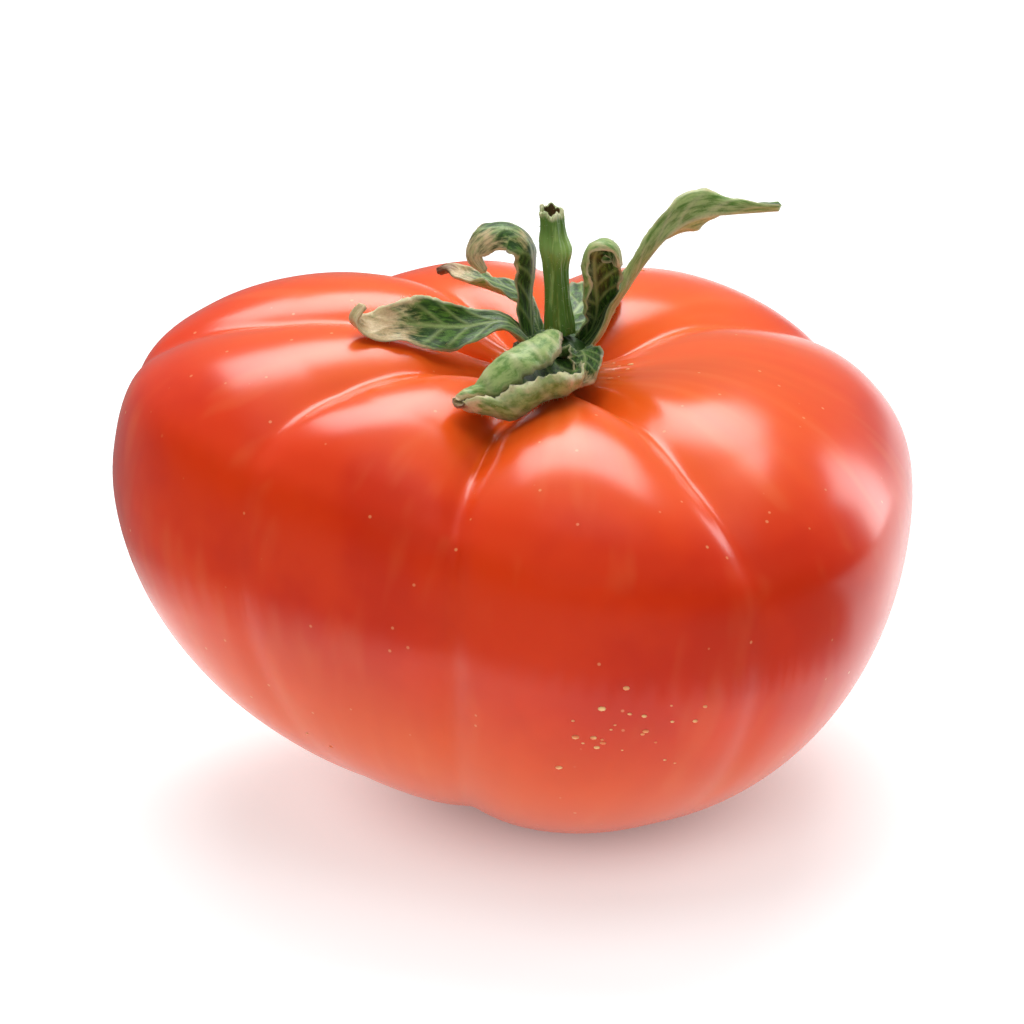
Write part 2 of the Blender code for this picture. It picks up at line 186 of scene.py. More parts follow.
class Term:
    """A number or a vector that nodes work out, so that a formula in a tree reads as arithmetic."""

    __add__ = of_two("ADD")
    __radd__ = of_two("ADD", other_first=True)
    __sub__ = of_two("SUBTRACT")
    __rsub__ = of_two("SUBTRACT", other_first=True)
    __mul__ = of_two("MULTIPLY")
    __rmul__ = of_two("MULTIPLY", other_first=True)
    __truediv__ = of_two("DIVIDE")
    __rtruediv__ = of_two("DIVIDE", other_first=True)
    __pow__ = of_two("POWER")
    at_least = of_two("MAXIMUM")
    at_most = of_two("MINIMUM")
    more_than = of_two("GREATER_THAN")
    angle_from = of_two("ARCTAN2")
    size = of_one("ABSOLUTE")
    sign = of_one("SIGN")
    whole = of_one("FLOOR")
    fraction = of_one("FRACT")
    sin = of_one("SINE")
    cos = of_one("COSINE")
    angle_of_cos = of_one("ARCCOSINE")
    exp = of_one("EXPONENT")
    root = of_one("SQRT")

    def __init__(self, tree: bpy.types.NodeTree, socket: bpy.types.NodeSocket) -> None:
        """Wraps a node's output."""
        self.tree = tree
        self.socket = socket

    def math(self, operation: str, *values: "Term | float") -> "Term":
        """The result of a Math node.

        Args:
            operation: The node's operation.
            values: Its inputs in order, each a term or a number.

        Returns:
            The result as a term.
        """
        node = self.tree.nodes.new("ShaderNodeMath")
        node.operation = operation
        for socket, value in zip(node.inputs, values):
            feed(self.tree, socket, value)
        return Term(self.tree, node.outputs[0])

    def __neg__(self) -> "Term":
        """The term with its sign turned."""
        return self * -1.0

    def between(self, low: float, high: float) -> "Term":
        """The term held between two bounds."""
        return self.at_least(low).at_most(high)

    def wrapped(self, low: float, high: float) -> "Term":
        """The term brought between two bounds by whole turns."""
        return self.math("WRAP", self, high, low)

    def hump(self, centre: "Term | float", width: "Term | float") -> "Term":
        """A bell of height one round a centre."""
        off = (self - centre) / width
        return (-(off * off)).exp()

    def eased(self, start: float, end: float) -> "Term":
        """Zero up to start and one from end on, in either order, easing between them."""
        share = ((self - start) / (end - start)).between(0.0, 1.0)
        return share * share * (3.0 - 2.0 * share)

    def vector_math(self, operation: str, other: object = None, scale: object = None) -> "Term":
        """The result of a Vector Math node.

        Args:
            operation: The node's operation.
            other: The second vector, where the operation has one.
            scale: The factor, where the operation is SCALE.

        Returns:
            The result as a term.
        """
        node = self.tree.nodes.new("ShaderNodeVectorMath")
        node.operation = operation
        feed(self.tree, node.inputs[0], self)
        if other is not None:
            feed(self.tree, node.inputs[1], other)
        if scale is not None:
            feed(self.tree, node.inputs["Scale"], scale)
        result = "Value" if operation in ("LENGTH", "DISTANCE") else "Vector"
        return Term(self.tree, node.outputs[result])

    def times(self, scale: "Term | float") -> "Term":
        """The vector made longer."""
        return self.vector_math("SCALE", scale=scale)

    def plus(self, other: "Term") -> "Term":
        """Sum of two vectors."""
        return self.vector_math("ADD", other)

    def parts(self) -> tuple["Term", "Term", "Term"]:
        """The vector's x, y and z.

        Returns:
            The three as terms.
        """
        node = self.tree.nodes.new("ShaderNodeSeparateXYZ")
        feed(self.tree, node.inputs[0], self)
        return tuple(Term(self.tree, socket) for socket in node.outputs)


def vector(tree: bpy.types.NodeTree, x: "Term | float", y: "Term | float", z: "Term | float") -> Term:
    """A vector from its parts.

    Args:
        tree: The tree to work in.
        x: First part.
        y: Second part.
        z: Third part.

    Returns:
        The vector as a term.
    """
    node = tree.nodes.new("ShaderNodeCombineXYZ")
    for socket, value in zip(node.inputs, (x, y, z)):
        feed(tree, socket, value)
    return Term(tree, node.outputs[0])


def noise(place: Term, scale: float, detail: float = 2.0, roughness: float = 0.5) -> Term:
    """Smooth noise about one half.

    Args:
        place: Where it is read, as a vector.
        scale: Lumps to the unit of place.
        detail: How many finer layers it has.
        roughness: How strong the finer layers are.

    Returns:
        The noise, from nought to one.
    """
    node = place.tree.nodes.new("ShaderNodeTexNoise")
    for name, value in (("Vector", place), ("Scale", scale), ("Detail", detail), ("Roughness", roughness)):
        feed(place.tree, node.inputs[name], value)
    return Term(place.tree, node.outputs[0])


def cells(place: Term, scale: float) -> tuple[Term, Term]:
    """Scattered dots.

    Args:
        place: Where they are read, as a vector.
        scale: Dots to the unit of place.

    Returns:
        The distance to the nearest dot, in spacings, and a random number for that dot.
    """
    node = place.tree.nodes.new("ShaderNodeTexVoronoi")
    feed(place.tree, node.inputs["Vector"], place)
    feed(place.tree, node.inputs["Scale"], scale)
    return Term(place.tree, node.outputs["Distance"]), Term(place.tree, node.outputs["Color"]).parts()[0]


def tree_size(value: float) -> float:
    """A dataclass field that becomes a named input of its piece's tree."""
    return field(default=value, metadata={"tree_size": True})


class ShapeTree:
    """A Geometry Nodes tree that is built in code, with named inputs for its sizes."""

    SEAM = 0.004 * MM

    def __init__(self, name: str) -> None:
        """Starts an empty tree with a geometry input and output.

        Args:
            name: The tree's name.
        """
        self.tree = bpy.data.node_groups.new(name, "GeometryNodeTree")
        for way in ("INPUT", "OUTPUT"):
            self.tree.interface.new_socket("Geometry", in_out=way, socket_type="NodeSocketGeometry")
        self.entry = self.tree.nodes.new("NodeGroupInput")
        self.exit = self.tree.nodes.new("NodeGroupOutput")
        self.values: dict[str, float] = {}

    @property
    def geometry(self) -> bpy.types.NodeSocket:
        """The geometry that the modifier is given."""
        return self.entry.outputs["Geometry"]

    def sizes_of(self, piece: object) -> SimpleNamespace:
        """Named inputs for a piece's sizes.

        Args:
            piece: The piece, whose tree_size fields become inputs.

        Returns:
            The inputs as terms, under the fields' own names.
        """
        sizes = SimpleNamespace()
        for item in fields(piece):
            if "tree_size" in item.metadata:
                name = item.name.replace("_", " ").capitalize()
                self.tree.interface.new_socket(name, in_out="INPUT", socket_type="NodeSocketFloat")
                self.values[name] = getattr(piece, item.name)
                setattr(sizes, item.name, Term(self.tree, self.entry.outputs[name]))
        return sizes

    def node(self, kind: str, inputs: dict[str, object], **settings: object) -> bpy.types.Node:
        """A new node.

        Args:
            kind: Its type.
            inputs: What goes on its sockets, by name.
            settings: Its properties.

        Returns:
            The node.
        """
        made = self.tree.nodes.new(kind)
        for name, value in settings.items():
            setattr(made, name, value)
        for name, value in inputs.items():
            feed(self.tree, enabled(made.inputs, name), value)
        return made

    def position(self) -> Term:
        """Where each point is."""
        return Term(self.tree, self.node("GeometryNodeInputPosition", {}).outputs[0])

    def grid(self, rows: int, around: int) -> tuple[bpy.types.NodeSocket, Term, Term]:
        """A flat grid of points, with the row and the place in the row of each.

        Args:
            rows: How many rows it has.
            around: How many points each row has.

        Returns:
            Its geometry, and the row and place numbers from nought.
        """
        counts = {"Size X": rows - 1, "Size Y": around - 1, "Vertices X": rows, "Vertices Y": around}
        made = self.node("GeometryNodeMeshGrid", counts)
        x, y, _ = self.position().parts()
        geometry = self.marked(made.outputs["Mesh"], Mark.ROW, (x + rows / 2.0).whole())
        geometry = self.marked(geometry, Mark.PLACE, (y + around / 2.0).whole())
        return geometry, self.remembered(Mark.ROW), self.remembered(Mark.PLACE)

    def placed(self, geometry: bpy.types.NodeSocket, place: Term) -> bpy.types.NodeSocket:
        """Geometry with its points moved to the places that are given."""
        node = self.node("GeometryNodeSetPosition", {"Geometry": geometry, "Position": place})
        return node.outputs["Geometry"]

    def marked(
        self, geometry: bpy.types.NodeSocket, mark: Mark, value: Term, kind: str = "FLOAT"
    ) -> bpy.types.NodeSocket:
        """Geometry whose points remember a value.

        Args:
            geometry: What to mark.
            mark: The value's name.
            value: The value.
            kind: FLOAT or FLOAT_VECTOR.

        Returns:
            The marked geometry.
        """
        inputs = {"Geometry": geometry, "Name": mark.value, "Value": value}
        node = self.node("GeometryNodeStoreNamedAttribute", inputs, data_type=kind, domain="POINT")
        return node.outputs["Geometry"]

    def remembered(self, mark: Mark, kind: str = "FLOAT") -> Term:
        """What each point remembers under a name."""
        node = self.node("GeometryNodeInputNamedAttribute", {"Name": mark.value}, data_type=kind)
        return Term(self.tree, enabled(node.outputs, "Attribute"))

    def sampled(self, geometry: bpy.types.NodeSocket, mark: Mark, row: Term, kind: str = "FLOAT") -> Term:
        """What another geometry's point of a number remembers.

        Args:
            geometry: The other geometry.
            mark: The value's name.
            row: The point's number.
            kind: FLOAT or FLOAT_VECTOR.

        Returns:
            The value as a term.
        """
        inputs = {"Geometry": geometry, "Value": self.remembered(mark, kind), "Index": row}
        node = self.node("GeometryNodeSampleIndex", inputs, data_type=kind, domain="POINT")
        return Term(self.tree, enabled(node.outputs, "Value"))

    def without_faces(self, geometry: bpy.types.NodeSocket, chosen: Term) -> bpy.types.NodeSocket:
        """Geometry with the chosen faces taken out."""
        inputs = {"Geometry": geometry, "Selection": chosen}
        return self.node("GeometryNodeDeleteGeometry", inputs, domain="FACE").outputs["Geometry"]

    def sealed(self, geometry: bpy.types.NodeSocket) -> bpy.types.NodeSocket:
        """Geometry whose coinciding points are made one."""
        node = self.node("GeometryNodeMergeByDistance", {"Geometry": geometry, "Distance": self.SEAM})
        return node.outputs["Geometry"]

    def strewn(
        self, small: bpy.types.NodeSocket, density: "Term | float", seed: int, scales: tuple[float, float],
        scale_seed: int, lean: float = 0.0,
    ) -> bpy.types.NodeSocket:
        """Copies of a small shape that stand all over the surface that the modifier is given.

        Args:
            small: The small shape, standing along Z.
            density: How many there are to the square metre.
            seed: The seed for their places and their lean.
            scales: The smallest and the largest scale.
            scale_seed: The seed for the scales.
            lean: How far they lean at most, sideways for a length of one.

        Returns:
            The copies.
        """
        spread = self.node(
            "GeometryNodeDistributePointsOnFaces", {"Mesh": self.geometry, "Density": density, "Seed": seed},
            distribute_method="RANDOM")
        upward = Term(self.tree, spread.outputs["Normal"])
        if lean:
            bounds = {"Min": (-lean,) * 3, "Max": (lean,) * 3, "Seed": seed}
            chance = self.node("FunctionNodeRandomValue", bounds, data_type="FLOAT_VECTOR")
            upward = upward.plus(Term(self.tree, enabled(chance.outputs, "Value")))
        bounds = {"Min": scales[0], "Max": scales[1], "Seed": scale_seed}
        scale = self.node("FunctionNodeRandomValue", bounds, data_type="FLOAT")
        stand = self.node("FunctionNodeAlignRotationToVector", {"Vector": upward}, axis="Z")
        return self.node("GeometryNodeInstanceOnPoints", {
            "Points": spread.outputs["Points"],
            "Instance": small,
            "Rotation": stand.outputs[0],
            "Scale": enabled(scale.outputs, "Value"),
        }).outputs["Instances"]

    def finished(self, geometry: bpy.types.NodeSocket, material: bpy.types.Material) -> None:
        """Ends the tree: real geometry, smooth, in its finish.

        Args:
            geometry: The last geometry.
            material: Its finish.
        """
        real = self.node("GeometryNodeRealizeInstances", {"Geometry": geometry}).outputs["Geometry"]
        smooth = self.node("GeometryNodeSetShadeSmooth", {"Geometry": real}).outputs["Geometry"]
        dressed = self.node("GeometryNodeSetMaterial", {"Geometry": smooth, "Material": material})
        feed(self.tree, self.exit.inputs["Geometry"], dressed.outputs["Geometry"])

    def made(self, name: str, start: bpy.types.Mesh | None = None) -> bpy.types.Mesh:
        """Runs the tree.

        Args:
            name: The result's name.
            start: The mesh that the tree is given, where it works on one.

        Returns:
            The result as a plain mesh.
        """
        holder = added(name, start or bpy.data.meshes.new("nothing"))
        modifier = holder.modifiers.new(name, "NODES")
        modifier.node_group = self.tree
        for item in self.tree.interface.items_tree:
            if item.name in self.values and item.in_out == "INPUT":
                modifier[item.identifier] = self.values[item.name]
        bpy.context.view_layer.update()
        result = bpy.data.meshes.new_from_object(holder.evaluated_get(bpy.context.evaluated_depsgraph_get()))
        holder.modifiers.clear()
        bpy.data.objects.remove(holder)
        result.name = name
        finish = next(material for material in result.materials if material)
        result.materials.clear()
        result.materials.append(finish)
        result.polygons.foreach_set("material_index", [0] * len(result.polygons))
        return result


def facing_out(mesh: bpy.types.Mesh) -> bpy.types.Mesh:
    """Turns every closed shell's faces outwards.

    Args:
        mesh: The mesh, changed in place.

    Returns:
        The same mesh.
    """
    bm = bmesh.new()
    bm.from_mesh(mesh)
    bmesh.ops.recalc_face_normals(bm, faces=bm.faces)
    bm.to_mesh(mesh)
    bm.free()
    return mesh


def as_piece(name: str, mesh: bpy.types.Mesh, slot: str, *nodes: str) -> bpy.types.Object:
    """A finished piece of the tomato.

    Args:
        name: Its name.
        mesh: Its mesh, already in place.
        slot: The name of a material slot; not used.
        nodes: The CAD nodes that it stands for.

    Returns:
        The object, riding on the one body.
    """
    piece = added(name, mesh)
    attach(piece, "root")
    if nodes:
        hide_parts(*nodes)
    log.info("%s: %d faces", name, len(mesh.polygons))
    return piece


def smoothed(values: tuple | list, share: float) -> "float | Vector":
    """Value at a share of the way along evenly spaced stations, eased between them.

    Args:
        values: Numbers or vectors at the stations.
        share: From nought to one.

    Returns:
        The value there.
    """
    place = share * (len(values) - 1)
    first = min(int(place), len(values) - 2)
    before, start = values[max(first - 1, 0)], values[first]
    end, after = values[first + 1], values[min(first + 2, len(values) - 1)]
    t = place - first
    return (
        start * (2 * t**3 - 3 * t**2 + 1)
        + (end - before) * 0.5 * (t**3 - 2 * t**2 + t)
        + end * (3 * t**2 - 2 * t**3)
        + (after - start) * 0.5 * (t**3 - t**2)
    )


class Shader:
    """A material's node tree with its Principled shader, and what its formulas read."""

    def __init__(self, name: str) -> None:
        """Makes the material.

        Args:
            name: The material's name.
        """
        self.material = bpy.data.materials.new(name)
        self.material.use_nodes = True
        self.tree = self.material.node_tree
        self.principled = self.tree.nodes["Principled BSDF"]

    def set(self, **values: object) -> None:
        """Puts values on the shader's own sockets, named with underscores for spaces."""
        for name, value in values.items():
            feed(self.tree, self.principled.inputs[name.replace("_", " ")], value)

    def object_place(self) -> Term:
        """Where a point is, in metres."""
        return Term(self.tree, self.tree.nodes.new("ShaderNodeTexCoord").outputs["Object"])

    def remembered(self, mark: Mark, output: str = "Fac") -> Term:
        """What the surface remembers under a name.

        Args:
            mark: The value's name.
            output: Fac for a number, Vector for a vector.

        Returns:
            The value as a term.
        """
        node = self.tree.nodes.new("ShaderNodeAttribute")
        node.attribute_name = mark.value
        return Term(self.tree, node.outputs[output])

    def mixed(self, share: Term, first: "Colour | Term", second: "Colour | Term") -> Term:
        """A colour between two others.

        Args:
            share: How much of the second.
            first: One colour.
            second: The other.

        Returns:
            The mixed colour.
        """
        node = self.tree.nodes.new("ShaderNodeMix")
        node.data_type = "RGBA"
        for name, value in (("Factor", share), ("A", first), ("B", second)):
            feed(self.tree, enabled(node.inputs, name), value)
        return Term(self.tree, enabled(node.outputs, "Result"))

    def bumped(self, height: Term, distance: float, strength: float) -> None:
        """Relief too fine to model.

        Args:
            height: From nought to one.
            distance: How high one is, in metres.
            strength: How much of it shows.
        """
        node = self.tree.nodes.new("ShaderNodeBump")
        for name, value in (("Strength", strength), ("Distance", distance), ("Height", height)):
            feed(self.tree, node.inputs[name], value)
        self.set(Normal=node.outputs["Normal"])


@dataclass(frozen=True)
class SkinFinish:
    """Ripe skin: waxy and slightly see-through, with fine pale flecks. More orange towards the stem end, partly
    its own colour and partly painted light from above, and more orange and pink underneath, painted light from
    the table below.
    """

    roughness: float = 0.235
    roughness_spread: float = 0.06
    fine_roughness_spread: float = 0.03
    depth_of_light: float = 2.2 * MM
    orange_from: float = 0.45
    orange_full: float = 1.02
    painted_table_light_from: float = -0.10
    painted_table_light_full: float = -0.7
    streaks_round: float = 2.4
    streaks_along: float = 0.6
    mottle_size: float = 17.0 * MM
    fine_size: float = 0.9 * MM
    least_out: float = 0.1 * MM
    fleck_spacing: float = 2.4 * MM
    cork_ring: tuple[float, float] = (8.5 * MM, 5.5 * MM)
    blossom_scar: tuple[float, float] = (3.6 * MM, 2.4 * MM)
    grain_sizes: tuple[float, float] = (0.5 * MM, 3.5 * MM)
    grain_height: float = 0.03 * MM
    grain_strength: float = 0.35

    def material(self) -> bpy.types.Material:
        """Builds the material.

        Returns:
            The material.
        """
        shader = Shader("tomato_skin")
        level = shader.remembered(Mark.LEVEL)
        place = shader.object_place()
        x, y, _ = shader.remembered(Mark.CORE_PLACE, "Vector").parts()
        out = (x * x + y * y).root().at_least(self.least_out)
        round_x, round_y = x / out * self.streaks_round, y / out * self.streaks_round
        streaks = noise(vector(shader.tree, round_x, round_y, level * self.streaks_along), 4.0, 1.5, 0.4)
        mottle = noise(place, 1.0 / self.mottle_size, 3.0)
        fine = noise(place, 1.0 / self.fine_size, 2.0)
        distance, chance = cells(place, 1.0 / self.fleck_spacing)

        red = shader.mixed(mottle.eased(0.35, 0.72), Colour.RIPE_RED, Colour.DEEP_RED)
        # Partly painted light: the orange towards the stem end is partly the shoulders' own colour and partly
        # stands in for light from above.
        orange = level.eased(self.orange_from, self.orange_full) * (0.55 + 0.6 * streaks)
        orange = orange + mottle.eased(0.55, 0.8) * 0.14 + shader.remembered(Mark.CREASE) * 0.10
        # Painted light: more orange underneath stands in for light from the white table below.
        below = level.eased(self.painted_table_light_from, self.painted_table_light_full)
        orange = orange + below * (0.55 + 0.40 * streaks)
        skin = shader.mixed(orange.between(0.0, 1.0), red, Colour.SHOULDER_ORANGE_AND_PAINTED_LIGHT)
        # Pink in random streaks is the skin's own; the pink towards the underside is a painted reflection of the
        # table below.
        blush_and_painted_reflection = streaks.eased(0.56, 0.75) * 0.16 + level.eased(-0.2, -0.9) * 0.22
        skin = shader.mixed(blush_and_painted_reflection.between(0.0, 1.0), skin, Colour.BLUSH)
        fleck = distance.eased(0.11, 0.05) * chance.eased(0.62, 0.70) * (0.2 + 0.3 * fine)
        skin = shader.mixed(fleck, skin, Colour.GOLD_FLECK)
        ring = out.eased(*self.cork_ring) * level.eased(0.3, 0.6)
        skin = shader.mixed(ring * (0.10 + 0.25 * fine), skin, Colour.CORK)
        scar = out.eased(*self.blossom_scar) * level.eased(-0.6, -0.9)
        skin = shader.mixed(scar * (0.5 + 0.5 * fine), skin, Colour.CORK)
        roughness = self.roughness + (mottle - 0.5) * self.roughness_spread
        roughness = roughness + (fine - 0.5) * self.fine_roughness_spread
        shader.set(
            Base_Color=skin,
            Roughness=roughness,
            Subsurface_Weight=0.22,
            Subsurface_Radius=(1.0, 0.22, 0.10),
            Subsurface_Scale=self.depth_of_light,
            Coat_Weight=0.12,
            Coat_Roughness=0.18,
            IOR=1.42,
        )
        small_grain, large_grain = self.grain_sizes
        small, large = noise(place, 1.0 / small_grain, 1.0), noise(place, 1.0 / large_grain, 2.0)
        shader.bumped(small * 0.25 + large * 0.75 + fleck * 0.4, self.grain_height, self.grain_strength)
        return shader.material


@dataclass(frozen=True)
class LeafFinish:
    """A drying sepal: dark green above, partly painted shade, paler beneath, with light veins, dry edges with a
    painted highlight along the rim, and a tan or brown tip.
    """

    roughness: float = 0.46
    veins: float = 8.0
    vein_slant: float = 1.3
    streaks_along: float = 7.0
    streaks_across: float = 3.2
    apart: float = 11.3
    patch_size: float = 2.6 * MM
    grain_size: float = 0.30 * MM
    relief_height: float = 0.10 * MM
    depth_of_light: float = 0.6 * MM

    def material(self) -> bpy.types.Material:
        """Builds the material.

        Returns:
            The material.
        """
        shader = Shader("sepal_green")
        along, across, face, dryness, number = (shader.remembered(mark) for mark in LEAF_MARKS)
        place = shader.object_place()
        streak_x, streak_y = along * self.streaks_along, across * self.streaks_across
        streak = noise(vector(shader.tree, streak_x, streak_y, number * self.apart), 2.6, 4.0, 0.6)
        patch = noise(place, 1.0 / self.patch_size, 3.0)
        grain = noise(place, 1.0 / self.grain_size, 3.0, 0.6)
        edge = across.size()
        midrib = edge.hump(0.0, 0.09)
        side_vein = ((along * self.veins - edge * self.vein_slant).fraction() - 0.5).hump(0.0, 0.13)
        side_vein = side_vein * edge.eased(0.02, 0.2) * edge.eased(1.0, 0.7)

        # The upper face's dark green is partly its own colour and partly painted shade for the hollows that it
        # lines.
        upper = shader.mixed(streak.eased(0.42, 0.66), Colour.LEAF_DARK, Colour.LEAF_GREEN)
        upper = shader.mixed((midrib * 0.75 + side_vein * 0.5).between(0.0, 1.0), upper, Colour.LEAF_LIGHT)
        lower = shader.mixed(streak.eased(0.30, 0.62), Colour.LEAF_GREEN, Colour.LEAF_LIGHT)
        lower = shader.mixed((midrib * 0.6 + side_vein * 0.35).between(0.0, 1.0), lower, Colour.LEAF_CREAM)
        leaf = shader.mixed(face.eased(0.2, -0.2), upper, lower)
        dry = dryness + edge.eased(0.72, 1.0) * 0.30 + (patch - 0.5) * 0.7 + (streak - 0.5) * 0.6
        tan = (patch * 0.6 + grain * 0.6).between(0.0, 1.0)
        dried = shader.mixed(tan, Colour.LEAF_CREAM, Colour.LEAF_TAN)
        leaf = shader.mixed(dry.between(0.0, 1.0).eased(0.48, 0.82), leaf, dried)
        # Painted highlight: a thin pale line along the edges.
        leaf = shader.mixed(edge.eased(0.84, 0.98) * 0.55, leaf, Colour.LEAF_CREAM)
        scorched = (dryness + (patch - 0.5) * 0.8 + edge.eased(0.85, 1.0) * 0.25).eased(0.98, 1.35)
        leaf = shader.mixed(scorched, leaf, Colour.LEAF_BROWN)
        leaf = shader.mixed((grain - 0.42).eased(0.0, 0.5) * 0.3, leaf, Colour.LEAF_DARK)
        shader.set(
            Base_Color=leaf,
            Roughness=(self.roughness + (grain - 0.5) * 0.2 - midrib * 0.1).between(0.3, 0.9),
            Subsurface_Weight=0.12,
            Subsurface_Radius=(0.5, 0.8, 0.2),
            Subsurface_Scale=self.depth_of_light,
            Sheen_Weight=0.12,
            Sheen_Roughness=0.4,
        )
        shader.bumped(grain * 0.6 + streak * 0.5 + side_vein * 0.3, self.relief_height, 0.7)
        return shader.material


@dataclass(frozen=True)
class StemFinish:
    """The broken stem: ridged green with light green fibres, a painted highlight on one side of its knuckle, pale
    round its frayed end, and painted shade inside its hollow end.
    """

    roughness: float = 0.38
    fibre_width: float = 0.45 * MM
    fibre_stretch: float = 0.12
    grain_size: float = 0.35 * MM
    relief_height: float = 0.10 * MM
    depth_of_light: float = 0.6 * MM

    def material(self) -> bpy.types.Material:
        """Builds the material.

        Returns:
            The material.
        """
        shader = Shader("stem_skin")
        along, across, inside = (shader.remembered(mark) for mark in (Mark.ALONG, Mark.ACROSS, Mark.INSIDE))
        place = shader.object_place()
        x, y, z = place.parts()
        fibres = noise(vector(shader.tree, x, y, z * self.fibre_stretch), 1.0 / self.fibre_width, 3.0)
        grain = noise(place, 1.0 / self.grain_size, 2.0)
        bark = shader.mixed(fibres.eased(0.35, 0.66), Colour.LEAF_GREEN, Colour.STEM_GREEN)
        # Painted highlight: lighter green round the knuckle, strongest on one side; light green fibres are the
        # stem's own.
        fibres_and_painted_highlight = along.hump(0.72, 0.12) * (0.4 + 0.6 * across.cos().between(0.0, 1.0))
        fibres_and_painted_highlight = fibres_and_painted_highlight + fibres.eased(0.55, 0.7) * 0.5
        bark = shader.mixed(fibres_and_painted_highlight.between(0.0, 1.0), bark, Colour.STEM_BRIGHT)
        rim = along.eased(0.95, 1.0) * (0.5 + fibres.eased(0.35, 0.6) * 0.5)
        bark = shader.mixed(rim, bark, Colour.STEM_PALE)
        # Painted shade: dark brown and dark green inside the hollow end.
        hollow = shader.mixed(fibres, Colour.LEAF_BROWN, Colour.LEAF_DARK)
        shader.set(
            Base_Color=shader.mixed(inside.eased(0.15, 0.6), bark, hollow),
            Roughness=self.roughness,
            Subsurface_Weight=0.1,
            Subsurface_Radius=(0.5, 0.8, 0.2),
            Subsurface_Scale=self.depth_of_light,
        )
        shader.bumped(fibres * 0.7 + grain * 0.3, self.relief_height, 0.8)
        return shader.material


@dataclass(frozen=True)
class PlainFinish:
    """A small piece's finish: two colours in soft patches."""

    name: str
    first: Colour
    second: Colour
    patch_size: float
    roughness: float

    def material(self) -> bpy.types.Material:
        """Builds the material.

        Returns:
            The material.
        """
        shader = Shader(self.name)
        patch = noise(shader.object_place(), 1.0 / self.patch_size, 2.0)
        colour = shader.mixed(patch.eased(0.35, 0.65), self.first, self.second)
        shader.set(Base_Color=colour, Roughness=self.roughness)
        return shader.material


@dataclass(frozen=True)
class Rest:
    """How the fruit's own axes stand when it rests, with its leans in degrees."""

    lean_right: float = 7.7
    lean_forward: float = 3.4
    core: Vector = field(default_factory=lambda: Vector((-5.1901, 1.1412, 37.9109)) * MM)

    def matrix(self) -> Matrix:
        """From the core's axes to the resting frame.

        Returns:
            The matrix.
        """
        forward = Matrix.Rotation(math.radians(self.lean_forward), 4, "X")
        right = Matrix.Rotation(math.radians(self.lean_right), 4, "Y")
        return Matrix.Translation(self.core) @ (forward @ right)


@dataclass(frozen=True)
class Crease:
    """A crease between two ribs: azimuth, its drift towards the underside, its depth on the shoulder, at the
    widest level and underneath, and the depth of the fine line along its bottom."""

    azimuth: float
    drift: float
    shoulder: float
    side: float
    underside: float
    line: float


CREASES = (
    Crease(-104.6, 6.0, 5.2 * MM, 1.6 * MM, 1.6 * MM, 0.75 * MM),
    Crease(-56.0, 4.0, 3.6 * MM, 0.7 * MM, 0.4 * MM, 0.50 * MM),
    Crease(40.0, 0.0, 3.4 * MM, 0.8 * MM, 0.6 * MM, 0.30 * MM),
    Crease(85.0, -3.0, 4.0 * MM, 1.4 * MM, 1.0 * MM, 0.45 * MM),
    Crease(128.0, 2.0, 3.4 * MM, 1.0 * MM, 0.8 * MM, 0.35 * MM),
    Crease(172.0, 3.0, 4.0 * MM, 1.2 * MM, 0.8 * MM, 0.45 * MM),
    Crease(-145.0, 7.0, 3.2 * MM, 0.5 * MM, 0.4 * MM, 0.35 * MM),
)


@dataclass(frozen=True)
class Swelling:
    """A slow swelling of the outline from above: share of the radius, number round, azimuth of the first."""

    share: float
    count: int
    first: float


SWELLINGS = (Swelling(0.042, 1, 73.0), Swelling(0.011, 2, -83.0), Swelling(0.080, 3, 57.0))


@dataclass(frozen=True)
class OutlinePoint:
    """A point of the fruit before its ribs: azimuth, level from -1 to 1, whether it is in the upper half, how
    far out and up it stands from the core, and how far out and up its outward direction goes."""

    azimuth: Term
    level: Term
    on_top: Term
    radius: Term
    up: Term
    normal_out: Term
    normal_up: Term


